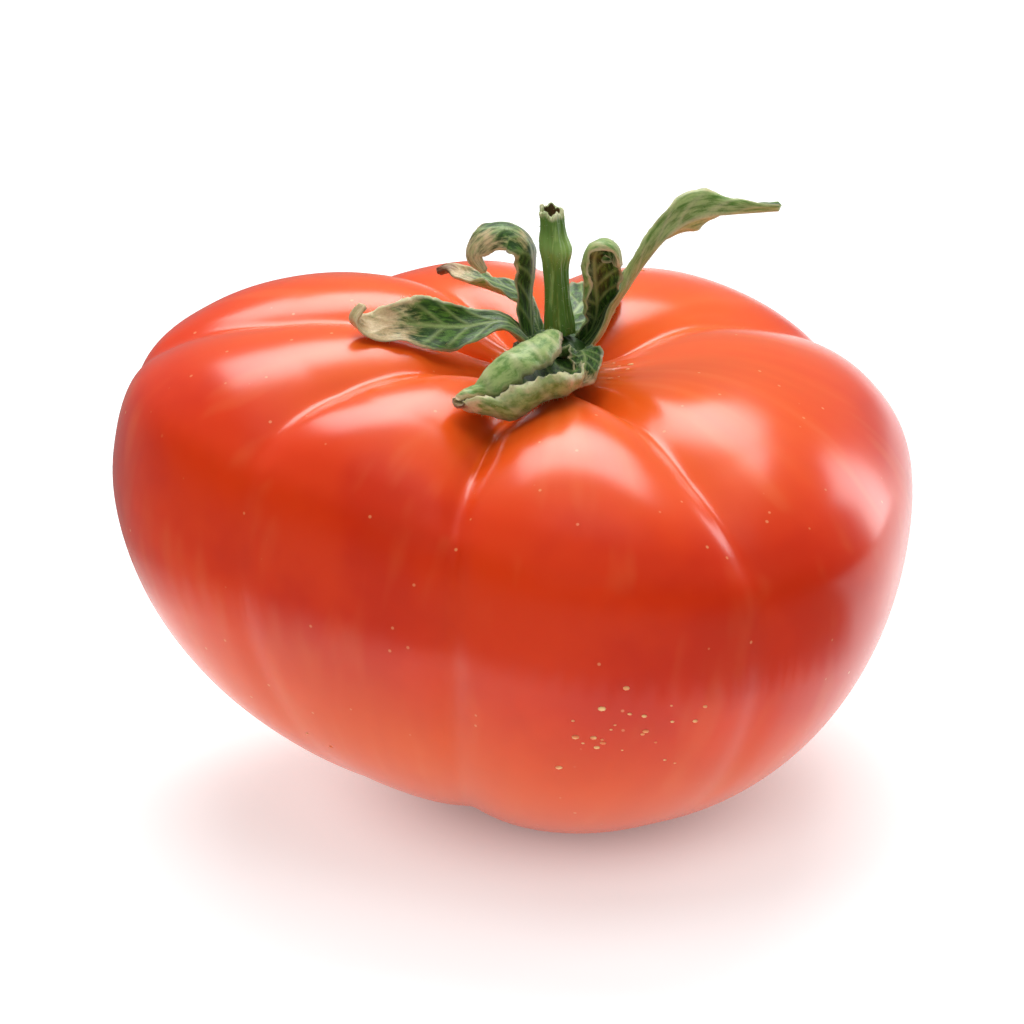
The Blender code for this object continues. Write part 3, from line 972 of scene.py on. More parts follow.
@dataclass
class Fruit:
    """The ribbed berry: half sizes from its core, two profiles, sunk ends, creases and fine relief."""

    half_width: float = tree_size(48.8 * MM)
    half_depth: float = tree_size(44.8 * MM)
    top_height: float = tree_size(22.0 * MM)
    bottom_height: float = tree_size(40.0 * MM)
    shoulder_power: float = tree_size(2.55)
    underside_power: float = tree_size(2.0)
    profile_blend: float = tree_size(0.45)
    stem_pit_depth: float = tree_size(6.5 * MM)
    stem_pit_radius: float = tree_size(14.0 * MM)
    blossom_dimple_depth: float = tree_size(2.0 * MM)
    blossom_dimple_radius: float = tree_size(10.0 * MM)
    crease_width: float = tree_size(13.0)
    crease_round: float = tree_size(2.5)
    crease_start_on_top: float = tree_size(6.0 * MM)
    crease_start_below: float = tree_size(12.0 * MM)
    pucker_height: float = tree_size(0.09 * MM)
    waviness: float = tree_size(0.5 * MM)
    line_width: float = 2.6
    line_below: tuple[float, float] = (-0.75, -0.1)
    line_above: tuple[float, float] = (1.0, 0.75)
    flank_level: float = -0.15
    shoulder_level: float = 0.80
    shoulder_ease: float = 1.3
    deep_crease: float = 4.0 * MM
    pucker_radius: float = 7.0 * MM
    pucker_spread: float = 4.5 * MM
    puckers: float = 26.0
    pucker_bend: float = 5.0
    wave_size: float = 26.0 * MM
    spot_rounding: float = 0.35 * MM
    pole_crowding: float = 0.36
    pole_reach: float = 0.05 * MM
    segments: int = 400
    rings: int = 230
    rest: Rest = field(default_factory=Rest)

    def globe(self, shape: ShapeTree) -> bpy.types.NodeSocket:
        """A globe whose points remember their azimuth and their angle from the underside.

        Args:
            shape: The tree to work in.

        Returns:
            The globe.
        """
        globe = shape.node("GeometryNodeMeshUVSphere", {"Segments": self.segments, "Rings": self.rings})
        x, y, z = shape.position().parts()
        even = (-z).between(-1.0, 1.0).angle_of_cos()
        skin = shape.marked(globe.outputs["Mesh"], Mark.AZIMUTH, y.angle_from(x))
        return shape.marked(skin, Mark.POLAR, even - self.pole_crowding * (2.0 * even).sin())

    def outline(self, shape: ShapeTree, sizes: SimpleNamespace) -> OutlinePoint:
        """Where a globe's point comes to stand on the fruit before its ribs.

        Args:
            shape: The tree to work in.
            sizes: The tree's inputs.

        Returns:
            The point.
        """
        azimuth = shape.remembered(Mark.AZIMUTH)
        polar = shape.remembered(Mark.POLAR)
        level = -(polar.cos())
        share = (level / sizes.profile_blend).eased(-1.0, 1.0)
        power = sizes.underside_power + (sizes.shoulder_power - sizes.underside_power) * share
        height = sizes.bottom_height + (sizes.top_height - sizes.bottom_height) * share
        reach_x = azimuth.cos() / sizes.half_width
        reach_y = azimuth.sin() / sizes.half_depth
        reach = 1.0 / (reach_x * reach_x + reach_y * reach_y).root()
        for swelling in SWELLINGS:
            turned = (azimuth - math.radians(swelling.first)) * float(swelling.count)
            reach = reach * (1.0 + swelling.share * turned.cos())
        share_out = polar.sin().at_least(0.0) ** (2.0 / power)
        share_up = level.size() ** (2.0 / power)
        side = level.sign()
        out = (share_out ** (power - 1.0)) / reach
        up = (share_up ** (power - 1.0)) / height * side
        size = (out * out + up * up).root()
        radius, rise = reach * share_out, height * share_up * side
        return OutlinePoint(azimuth, level, level.more_than(0.0), radius, rise, out / size, up / size)

    def crease_depth(self, sizes: SimpleNamespace, point: OutlinePoint) -> Term:
        """How deep the creases between the ribs go.

        Args:
            sizes: The tree's inputs.
            point: Where.

        Returns:
            The depth.
        """
        level = point.level
        above = (level - self.flank_level) / (self.shoulder_level - self.flank_level)
        shoulder = above.between(0.0, 1.0) ** self.shoulder_ease
        underside = ((level - self.flank_level) / (-1.0 - self.flank_level)).between(0.0, 1.0)
        flank = (1.0 - shoulder - underside).at_least(0.0)
        line_here = level.eased(*self.line_below) * level.eased(*self.line_above)
        depth = 0.0
        for crease in CREASES:
            off = point.azimuth * math.degrees(1.0) - crease.azimuth + level * crease.drift
            off = off.wrapped(-180.0, 180.0)
            rounded = (off * off + sizes.crease_round * sizes.crease_round).root() - sizes.crease_round
            own = shoulder * crease.shoulder + flank * crease.side + underside * crease.underside
            own = own * (-(rounded / sizes.crease_width)).exp()
            depth = depth + (own + off.hump(0.0, self.line_width) * line_here * crease.line)
        lower, upper = sizes.crease_start_below, sizes.crease_start_on_top
        start = lower + (upper - lower) * point.on_top
        return depth * (1.0 - point.radius.hump(0.0, start))

    def fine_relief(self, shape: ShapeTree, sizes: SimpleNamespace, point: OutlinePoint) -> Term:
        """The puckers round the stem end and the slow waves of the whole skin.

        Args:
            shape: The tree to work in.
            sizes: The tree's inputs.
            point: Where.

        Returns:
            How far the skin stands out there.
        """
        x, y = point.azimuth.cos(), point.azimuth.sin()
        round_about = vector(shape.tree, x * 2.0, y * 2.0, point.level)
        bent = noise(round_about, 1.6, 2.0) * self.pucker_bend
        puckered = (point.azimuth * self.puckers + bent).cos() * noise(round_about, 3.0, 1.0)
        puckered = puckered * point.radius.hump(self.pucker_radius, self.pucker_spread) * point.on_top
        place = vector(shape.tree, point.radius * x, point.radius * y, point.up)
        waves = noise(place, 1.0 / self.wave_size, 1.0) - 0.5
        return puckered * sizes.pucker_height + waves * sizes.waviness

    def tree(self) -> ShapeTree:
        """The tree that lays a globe's points onto the skin.

        Returns:
            The tree.
        """
        shape = ShapeTree("fruit_skin_shape")
        sizes = shape.sizes_of(self)
        skin = self.globe(shape)
        point = self.outline(shape, sizes)
        crease_depth = self.crease_depth(sizes, point)
        relief = self.fine_relief(shape, sizes, point) - crease_depth
        pit = sizes.stem_pit_depth * point.radius.hump(0.0, sizes.stem_pit_radius) * point.on_top
        dimple = point.radius.hump(0.0, sizes.blossom_dimple_radius) * (1.0 - point.on_top)
        out = point.radius + relief * point.normal_out
        up = point.up - pit + sizes.blossom_dimple_depth * dimple + relief * point.normal_up
        skin = shape.marked(skin, Mark.LEVEL, point.level)
        skin = shape.marked(skin, Mark.CREASE, (crease_depth / self.deep_crease).between(0.0, 1.5))
        x, y = out * point.azimuth.cos(), out * point.azimuth.sin()
        skin = shape.placed(skin, vector(shape.tree, x, y, up))
        skin = shape.marked(skin, Mark.CORE_PLACE, shape.position(), "FLOAT_VECTOR")
        shape.finished(skin, SkinFinish().material())
        return shape

    def skin(self) -> bpy.types.Mesh:
        """The skin about the core, before the fruit is laid down."""
        return facing_out(self.tree().made("fruit_skin"))

    def pit_floor(self, skin: bpy.types.Mesh) -> Vector:
        """The middle of the stem end's pit, on the skin about the core."""
        near_axis = [vert.co for vert in skin.vertices if vert.co.xy.length < self.pole_reach]
        return max(near_axis, key=lambda place: place.z).copy()

    def build(self, mesh: bpy.types.Mesh) -> bpy.types.Object:
        """Lays the fruit down and rounds the skin off where it meets the table.

        Args:
            mesh: The skin about the core.

        Returns:
            The fruit.
        """
        mesh.transform(self.rest.matrix())
        places = np.empty(len(mesh.vertices) * 3, dtype=np.float32)
        mesh.vertices.foreach_get("co", places)
        places = places.reshape(-1, 3)
        height = places[:, 2]
        places[:, 2] = (height + np.sqrt(height**2 + self.spot_rounding**2)) / 2.0
        places[:, 2] -= places[:, 2].min()
        mesh.vertices.foreach_set("co", places.ravel())
        mesh.update()
        return as_piece("tomato_skin", mesh, "fruit_skin", "fruit")


@dataclass(frozen=True)
class Sepal:
    """One sepal: its midrib's points in millimetres about the pit's floor, and, at evenly spaced stations from
    root to tip, its width in millimetres, its twist and the arc that its width is cupped through in degrees, and
    how dry it is. In a rolled one, turned_in is how far one edge comes in from the roll's wall, as a share of its
    radius."""

    midrib: tuple
    width: tuple
    twist: tuple
    cup: tuple
    dry: tuple
    turned_in: float = 0.0


SEPALS = (
    Sepal(
        ((-0.9, -3.5, 2.7), (-2.0, -7.0, 3.8), (-3.9, -11.0, 3.0), (-6.4, -14.6, 0.6), (-9.2, -17.8, -2.4),
         (-12.0, -20.9, -6.0)),
        (5.0, 15.0, 23.0, 22.0, 13.0, 1.0), (-25, -55, -60, -50, -20, 0), (150, 285, 345, 360, 280),
        (0.1, 0.25, 0.35, 0.30, 0.45, 1.2), 0.5),
    Sepal(
        ((1.5, -2.9, 2.8), (2.6, -5.2, 4.4), (3.0, -7.0, 4.0), (2.6, -8.6, 3.0), (1.2, -9.4, 2.2)),
        (4.0, 5.0, 4.6, 3.6, 1.0), (0, 0, -10, -20, -20), (50, 80, 90, 80, 50), (0.1, 0.15, 0.3, 0.6, 0.9)),
    Sepal(
        ((3.2, 0.2, 2.8), (4.6, 0.6, 5.0), (5.6, 1.5, 8.0), (6.8, 2.0, 10.5), (8.2, 2.5, 13.5),
         (10.2, 3.5, 16.5), (12.2, 5.0, 18.0), (14.7, 6.0, 19.2), (19.0, 8.0, 19.8), (24.5, 9.0, 20.6)),
        (4.5, 3.2, 3.4, 4.4, 6.6, 3.0, 1.0), (0, -10, -20, -50, -70, -30, 0), (60, 90, 100, 90, 80, 200, 220),
        (0.1, 0.1, 0.1, 0.25, 0.35, 0.15, 0.25)),
    Sepal(
        ((3.0, 1.9, 2.6), (3.9, 1.4, 7.0), (3.0, 0.3, 12.0), (2.6, -0.3, 15.0), (3.4, -0.8, 16.8),
         (4.9, -1.2, 16.4), (5.6, -1.8, 14.4)),
        (2.8, 4.4, 7.0, 7.6, 5.6, 1.0), (130, 155, 155, 140, 130), (50, 100, 180, 200, 140),
        (0.1, 0.1, 0.25, 0.35, 0.4, 0.7)),
    Sepal(
        ((0.4, 3.3, 2.8), (2.0, 6.0, 4.8), (3.5, 9.5, 5.2), (6.0, 13.5, 4.5), (7.5, 16.5, 4.0)),
        (4.0, 6.0, 6.5, 4.5, 1.0), (0, 5, 10, 10, 10), (50, 60, 60, 60, 50), (0.1, 0.1, 0.2, 0.4, 0.9)),
    Sepal(
        ((-2.2, 2.5, 2.8), (-4.6, 3.6, 6.6), (-8.0, 4.5, 7.6), (-11.5, 5.5, 7.9), (-13.5, 6.5, 8.3),
         (-15.0, 7.0, 7.5)),
        (3.0, 3.5, 4.0, 3.2, 1.0), (0, 0, 10, 0, -20), (50, 70, 80, 80, 60), (0.1, 0.2, 0.4, 0.7, 1.4)),
    Sepal(
        ((-3.2, 1.0, 2.8), (-4.2, 1.5, 8.0), (-4.4, 1.5, 12.0), (-5.4, 1.0, 15.0), (-7.8, 1.0, 16.2),
         (-10.3, 0.0, 15.2), (-11.3, -0.5, 13.0), (-9.6, -1.0, 11.4)),
        (3.5, 4.2, 5.2, 5.6, 4.2, 1.0), (0, 0, 10, 10, 0), (-40, -60, -80, -90, -80),
        (0.1, 0.2, 0.45, 0.55, 0.8)),
    Sepal(
        ((-3.3, -0.5, 2.8), (-6.5, -1.0, 5.2), (-11.0, -2.0, 4.5), (-15.5, -3.0, 3.7), (-19.0, -3.5, 2.6),
         (-22.3, -4.0, 2.4), (-24.2, -4.5, 4.4), (-23.2, -4.0, 6.6)),
        (3.5, 3.5, 5.5, 7.5, 5.5, 4.0, 1.0), (0, -20, -35, -50, -20, 0), (50, 60, 70, 60, 40),
        (0.1, 0.1, 0.15, 0.35, 0.7, 0.8, 0.75)),
)


@dataclass
class Station:
    """One cross-section of a sepal: its centre, the ways across and up, half its width, its cupped arc, how far
    one edge is turned in, how far along it is, how dry it is and its sepal's number."""

    centre: Vector
    side: Vector
    faced: Vector
    half: float
    arc: float
    turned_in: float
    share: float
    dry: float
    number: int


@dataclass
class Calyx:
    """The green star: the disc on the stem end and the curled sepals that grow from it."""

    edge_thickness: float = tree_size(0.42 * MM)
    rib_thickness: float = tree_size(0.95 * MM)
    ripple: float = tree_size(0.4 * MM)
    ripples: float = tree_size(2.5)
    fine_ripple: float = tree_size(0.22 * MM)
    fine_ripples: float = tree_size(6.5)
    rib_height: float = tree_size(0.28 * MM)
    vein_height: float = tree_size(0.09 * MM)
    raggedness: float = tree_size(0.22)
    upper_rib_share: float = 0.35
    rib_width: float = 0.12
    vein_width: float = 0.15
    crimp_power: float = 2.5
    tears_along: float = 9.0
    tears_apart: tuple[float, float] = (5.7, 3.1)
    ripple_slants: tuple[float, float, float] = (1.7, 2.6, 2.1)
    skin_gap: float = 0.3 * MM
    tightest_curl: float = 0.95 * MM
    least_width: float = 0.5
    least_arc: float = 0.05
    least_upward: float = 0.5
    section_points: int = 9
    lift_reach: float = 0.2
    lift_rounds: int = 3
    steps: int = 84
    around: int = 33
    midline_points: int = 401
    disc_radius: float = 4.9 * MM
    disc_height: float = 4.4 * MM
    disc_rim_drop: float = 2.2 * MM
    disc_least_thickness: float = 0.5 * MM
    disc_rib_height: float = 0.16 * MM
    disc_lobe_share: float = 0.05
    disc_lobe_turn: float = 0.6
    disc_marks: tuple[float, ...] = (0.06, 0.4, 1.0, 0.1, 9.0)
    disc_rings: int = 22
    disc_segments: int = 72
    above_all: float = 60.0 * MM

    def midline(self, sepal: Sepal) -> list[Vector]:
        """Points evenly spaced along the smooth curve through a midrib's points.

        Args:
            sepal: The sepal.

        Returns:
            The points, one for each station.
        """
        marks = [Vector(point) * MM for point in sepal.midrib]
        fine = np.array([smoothed(marks, share) for share in np.linspace(0.0, 1.0, self.midline_points)])
        lengths = np.linalg.norm(np.diff(fine, axis=0), axis=1)
        travelled = np.concatenate([[0.0], np.cumsum(lengths)])
        wanted = np.linspace(0.0, travelled[-1], self.steps + 1)
        places = np.column_stack([np.interp(wanted, travelled, fine[:, axis]) for axis in range(3)])
        return [Vector(place) for place in places.tolist()]

    def stations(self, sepal: Sepal, number: int) -> list[Station]:
        """Cross-sections of a sepal from root to tip.

        Args:
            sepal: The sepal.
            number: Its number round the disc.

        Returns:
            Its stations, not yet lifted off the skin.
        """
        centres = self.midline(sepal)
        upper = Vector((0.0, 0.0, 1.0))
        made = []
        for step, centre in enumerate(centres):
            share = step / self.steps
            along = (centres[min(step + 1, self.steps)] - centres[max(step - 1, 0)]).normalized()
            upper = (upper - along * upper.dot(along)).normalized()
            faced = Matrix.Rotation(math.radians(smoothed(sepal.twist, share)), 3, along) @ upper
            half = max(smoothed(sepal.width, share), self.least_width) * MM / 2.0
            arc = math.radians(smoothed(sepal.cup, share))
            arc = math.copysign(max(min(abs(arc), 2.0 * half / self.tightest_curl), self.least_arc), arc)
            dry = smoothed(sepal.dry, share)
            side = along.cross(faced)
            made.append(Station(centre, side, faced, half, arc, sepal.turned_in, share, dry, number))
        return made

    def section(self, station: Station) -> list[Vector]:
        """Points on both faces across a station, for its clearance from the skin.

        Args:
            station: The station.

        Returns:
            The points.
        """
        bend = 2.0 * station.half / station.arc
        points = []
        for v in np.linspace(-1.0, 1.0, self.section_points).tolist():
            angle = v * station.arc / 2.0
            middle = station.centre + station.side * (bend * math.sin(angle))
            middle = middle + station.faced * (bend * (1.0 - math.cos(angle)))
            out = station.faced * math.cos(angle) - station.side * math.sin(angle)
            middle = middle + out * (station.turned_in * bend * max(v, 0.0) ** 2)
            points += [middle + out * (self.rib_thickness / 2.0), middle - out * (self.rib_thickness / 2.0)]
        return points

    def lifted(self, stations: list[Station], skin: BVHTree) -> None:
        """Raises stations that come too near the skin, each with its neighbours.

        Args:
            stations: A sepal's stations, changed in place.
            skin: The fruit's skin about the pit's floor.
        """
        reach = self.steps * self.lift_reach
        for _ in range(self.lift_rounds):
            needs = []
            for station in stations:
                need = 0.0
                for point in self.section(station):
                    near, normal, _, _ = skin.find_nearest(point)
                    short = self.skin_gap - (point - near).dot(normal)
                    need = max(need, short / max(normal.z, self.least_upward))
                needs.append(need)
            for step, station in enumerate(stations):
                near_needs = (need * max(1.0 - abs(at - step) / reach, 0.0) for at, need in enumerate(needs))
                station.centre = station.centre + Vector((0.0, 0.0, max(near_needs)))

    def station_mesh(self, stations: list[Station]) -> bpy.types.Mesh:
        """Loose points that remember every station.

        Args:
            stations: The stations of every sepal in turn.

        Returns:
            The points.
        """
        mesh = bpy.data.meshes.new("sepal_stations")
        mesh.from_pydata([station.centre for station in stations], [], [])
        solid = [0.0 if at % (self.steps + 1) in (0, self.steps) else 1.0 for at in range(len(stations))]
        columns = {
            Mark.CENTRE: [station.centre for station in stations],
            Mark.SIDE: [station.side for station in stations],
            Mark.FACED: [station.faced for station in stations],
            Mark.HALF_WIDTH: [station.half * share for station, share in zip(stations, solid)],
            Mark.THICKNESS: solid,
            Mark.CUP: [station.arc for station in stations],
            Mark.TURNED_IN: [station.turned_in for station in stations],
            Mark.ALONG: [station.share for station in stations],
            Mark.DRYNESS: [station.dry for station in stations],
            Mark.NUMBER: [float(station.number) for station in stations],
        }
        for mark, values in columns.items():
            kind, slot = ("FLOAT_VECTOR", "vector") if mark in STATION_VECTORS else ("FLOAT", "value")
            layer = mesh.attributes.new(mark.value, kind, "POINT")
            layer.data.foreach_set(slot, np.array(values, dtype=np.float32).ravel())
        return mesh

    def blade_tree(self, rows: int) -> ShapeTree:
        """The tree that draws a closed blade along every sepal's stations.

        Args:
            rows: How many stations there are in all.

        Returns:
            The tree.
        """
        shape = ShapeTree("sepal_blades")
        sizes = shape.sizes_of(self)
        finish = LeafFinish()
        mesh, row, place = shape.grid(rows, self.around)
        turn = place / float(self.around - 1)
        across = 1.0 - (turn * 4.0 - 2.0).size()
        outward = across.size()
        face = ((turn * math.tau).sin() * 3.0).between(-1.0, 1.0)
        centre, side, faced = (
            shape.sampled(shape.geometry, mark, row, "FLOAT_VECTOR") for mark in STATION_VECTORS)
        half, solid, cup, along, dryness, number, turned_in = (
            shape.sampled(shape.geometry, mark, row)
            for mark in (Mark.HALF_WIDTH, Mark.THICKNESS, Mark.CUP, Mark.ALONG, Mark.DRYNESS, Mark.NUMBER,
                         Mark.TURNED_IN))

        own, own_edge = self.tears_apart
        tears = vector(shape.tree, along * self.tears_along, number * own, across.sign() * own_edge)
        torn = (noise(tears, 1.5, 3.0, 0.65) - 0.5) * 2.0
        reach = across * (1.0 + torn * sizes.raggedness * outward * outward)
        angle = reach * cup / 2.0
        bend = half * 2.0 / cup
        middle = centre.plus(side.times(bend * angle.sin())).plus(faced.times(bend * (1.0 - angle.cos())))
        out = faced.times(angle.cos()).plus(side.times(-angle.sin()))
        one_edge = across.at_least(0.0)
        middle = middle.plus(out.times(turned_in * bend * one_edge * one_edge))

        fade = (along * math.pi).sin()
        slant, fine_slant, own_phase = self.ripple_slants
        wave = (sizes.ripples * along * math.tau + across * slant).sin()
        crimp = (sizes.fine_ripples * along * math.tau + across * fine_slant + number * own_phase).sin()
        rippled = sizes.ripple * across * across * wave * fade
        rippled = rippled + sizes.fine_ripple * outward**self.crimp_power * crimp * fade
        inner = (1.0 - outward) * (1.0 - outward)
        thickness = sizes.edge_thickness + (sizes.rib_thickness - sizes.edge_thickness) * inner
        vein = (along * finish.veins - outward * finish.vein_slant).fraction().hump(0.5, self.vein_width)
        vein = vein * outward.eased(0.03, 0.25) * outward.eased(1.0, 0.75) * sizes.vein_height
        rib = sizes.rib_height * across.hump(0.0, self.rib_width)
        rib = rib * face.at_most(0.0).size() + rib * self.upper_rib_share * face.at_least(0.0)
        offset = (rippled + face * (thickness / 2.0 + vein) - rib) * solid
        blades = shape.placed(mesh, middle.plus(out.times(offset)))
        for mark, value in zip(LEAF_MARKS, (along, across, face, dryness, number)):
            blades = shape.marked(blades, mark, value)
        between_two = shape.remembered(Mark.NUMBER).fraction().more_than(0.25)
        shape.finished(shape.sealed(shape.without_faces(blades, between_two)), finish.material())
        return shape

    def blades(self, skin: BVHTree) -> bpy.types.Mesh:
        """All sepals as one mesh about the pit's floor.

        Args:
            skin: The fruit's skin about the pit's floor.

        Returns:
            The sepals.
        """
        stations = []
        for number, sepal in enumerate(SEPALS):
            own = self.stations(sepal, number)
            self.lifted(own, skin)
            stations += own
        return facing_out(self.blade_tree(len(stations)).made("sepals", self.station_mesh(stations)))

    def skin_height(self, skin: BVHTree, x: float, y: float) -> float:
        """How high the disc's underside is above a place on the pit's floor."""
        straight_down = skin.ray_cast(Vector((x, y, self.above_all)), Vector((0.0, 0.0, -1.0)))
        return straight_down[0].z + self.skin_gap

    def disc(self, skin: BVHTree, finish: bpy.types.Material) -> bpy.types.Mesh:
        """The domed disc that the sepals grow from, ribbed where each one starts.

        Args:
            skin: The fruit's skin about the pit's floor.
            finish: The sepals' material.

        Returns:
            The disc about the pit's floor.
        """
        bm = bmesh.new()
        top, under = [], []
        for ring in range(1, self.disc_rings + 1):
            edge = ring / self.disc_rings
            top.append([])
            under.append([])
            for turn in range(self.disc_segments):
                angle = math.tau * turn / self.disc_segments
                rib = self.disc_rib_height * math.cos(len(SEPALS) * angle) * edge
                lobe = self.disc_lobe_share * math.cos(len(SEPALS) * angle + self.disc_lobe_turn) * edge
                radius = self.disc_radius * edge * (1.0 + lobe)
                x, y = radius * math.cos(angle), radius * math.sin(angle)
                low = self.skin_height(skin, x, y)
                high = self.disc_height - self.disc_rim_drop * edge**2 + rib
                top[-1].append(bm.verts.new((x, y, max(high, low + self.disc_least_thickness))))
                under[-1].append(bm.verts.new((x, y, low)))
        crown = bm.verts.new((0.0, 0.0, self.disc_height))
        foot = bm.verts.new((0.0, 0.0, self.skin_height(skin, 0.0, 0.0)))
        for turn in range(self.disc_segments):
            after = (turn + 1) % self.disc_segments
            bm.faces.new((crown, top[0][turn], top[0][after]))
            bm.faces.new((foot, under[0][after], under[0][turn]))
            for low, high in zip(range(self.disc_rings - 1), range(1, self.disc_rings)):
                bm.faces.new((top[low][turn], top[high][turn], top[high][after], top[low][after]))
                bm.faces.new((under[low][turn], under[low][after], under[high][after], under[high][turn]))
            bm.faces.new((top[-1][turn], under[-1][turn], under[-1][after], top[-1][after]))
        bmesh.ops.recalc_face_normals(bm, faces=bm.faces)
        mesh = bpy.data.meshes.new("calyx_disc")
        bm.to_mesh(mesh)
        bm.free()
        for mark, value in zip(LEAF_MARKS, self.disc_marks):
            layer = mesh.attributes.new(mark.value, "FLOAT", "POINT")
            layer.data.foreach_set("value", np.full(len(mesh.vertices), value, dtype=np.float32))
        mesh.materials.append(finish)
        mesh.shade_smooth()
        return mesh


@dataclass
class Stem:
    """The broken stub: a ridged stalk with a swollen knuckle and a frayed, hollow end."""

    height: float = tree_size(14.6 * MM)
    lean_to_the_right: float = tree_size(-3.0 * MM)
    lean_to_the_back: float = tree_size(1.0 * MM)
    base_radius: float = tree_size(1.8 * MM)
    radius: float = tree_size(1.4 * MM)
    knuckle_radius: float = tree_size(1.9 * MM)
    knuckle_place: float = tree_size(0.7)
    hollow_depth: float = tree_size(1.7 * MM)
    fray: float = tree_size(0.5 * MM)
    ridge_height: float = tree_size(0.15 * MM)
    foot: float = 4.75 * MM
    base_reach: float = 0.22
    knuckle_reach: float = 0.1
    knuckle_lopsided: float = 0.35
    knuckle_side: float = 0.3
    unevenness: float = 0.35 * MM
    unevenness_along: float = 2.2
    fray_from: float = 0.9
    fray_roughness: float = 1.6
    ridges: float = 5.0
    fine_ridges: float = 17.0
    fine_ridge_share: float = 0.35
    outside_share: float = 0.78
    rim_share: float = 0.08
    rim_height: float = 0.18 * MM
    wall_share: float = 0.34
    rows: int = 120
    around: int = 97

    def tree(self) -> ShapeTree:
        """The tree that draws the stub as one closed tube that turns in at its broken end.

        Returns:
            The tree.
        """
        shape = ShapeTree("stem_stub")
        sizes = shape.sizes_of(self)
        mesh, row, place = shape.grid(self.rows, self.around)
        share = row / float(self.rows - 1)
        angle = place * (math.tau / (self.around - 1))
        inside_from = self.outside_share + self.rim_share
        up = (share / self.outside_share).between(0.0, 1.0)
        inward = ((share - self.outside_share) / self.rim_share).between(0.0, 1.0)
        down = ((share - inside_from) / (1.0 - inside_from)).between(0.0, 1.0)

        stalk = sizes.radius + (sizes.base_radius - sizes.radius) * up.hump(0.0, self.base_reach)
        bulge = up.hump(sizes.knuckle_place, self.knuckle_reach)
        bulge = bulge * (1.0 + self.knuckle_lopsided * (angle - self.knuckle_side).cos())
        stalk = stalk + (sizes.knuckle_radius - sizes.radius) * bulge
        circle = vector(shape.tree, angle.cos(), angle.sin(), up * self.unevenness_along)
        uneven = (noise(circle, 2.2, 3.0) - 0.5) * self.unevenness
        ridged = (angle * self.ridges).cos() + self.fine_ridge_share * (angle * self.fine_ridges).cos()
        reach = stalk + ridged * sizes.ridge_height + uneven
        reach = reach * (1.0 - self.wall_share * (inward * (math.pi / 2.0)).sin())
        reach = reach * (1.0 - down * down) * row.between(0.0, 1.0)
        torn = (noise(circle, 9.0, 2.0) - 0.5) * self.fray_roughness
        torn = (angle * 3.0).sin() * (angle * 2.0).cos() + torn
        rise = sizes.height * up + sizes.fray * torn * up.eased(self.fray_from, 1.0) * (1.0 - down)
        rise = rise + self.rim_height * (inward * math.pi).sin() - sizes.hollow_depth * down + self.foot
        across_x = reach * angle.cos() + sizes.lean_to_the_right * up
        across_y = reach * angle.sin() + sizes.lean_to_the_back * up
        stub = shape.placed(mesh, vector(shape.tree, across_x, across_y, rise))
        stub = shape.marked(stub, Mark.ALONG, up)
        stub = shape.marked(stub, Mark.ACROSS, angle)
        stub = shape.marked(stub, Mark.INSIDE, down.at_least((inward - 0.6) * 1.5))
        shape.finished(shape.sealed(stub), StemFinish().material())
        return shape

    def build(self) -> bpy.types.Mesh:
        """The stub about the pit's floor."""
        return facing_out(self.tree().made("stem_stub"))


@dataclass
class Hairs:
    """Fine short hairs that stand on the green parts."""

    hair_length: float = tree_size(0.42 * MM)
    hair_thickness: float = tree_size(0.022 * MM)
    per_square_metre: float = 1.1e6
    scales: tuple[float, float] = (0.5, 1.3)
    lean: float = 0.5
    seed: int = 7
    scale_seed: int = 8

    def tree(self) -> ShapeTree:
        """The tree that sets hairs on whatever mesh it is given.

        Returns:
            The tree.
        """
        shape = ShapeTree("green_hairs")
        sizes = shape.sizes_of(self)
        cone = {"Radius Bottom": sizes.hair_thickness, "Radius Top": 0.0, "Depth": sizes.hair_length}
        hair = shape.node("GeometryNodeMeshCone", {"Vertices": 3, **cone}).outputs["Mesh"]
        hairs = shape.strewn(hair, self.per_square_metre, self.seed, self.scales, self.scale_seed, self.lean)
        colours = (Colour.HAIR_GREEN, Colour.LEAF_LIGHT)
        finish = PlainFinish("hair_green", *colours, patch_size=0.9 * MM, roughness=0.5)
        shape.finished(hairs, finish.material())
        return shape


@dataclass(frozen=True)
class Patch:
    """A patch of corky flecks: its centre and spread in metres, and how many it has to the square metre."""

    centre: tuple[float, float, float]
    spread: float
    density: float


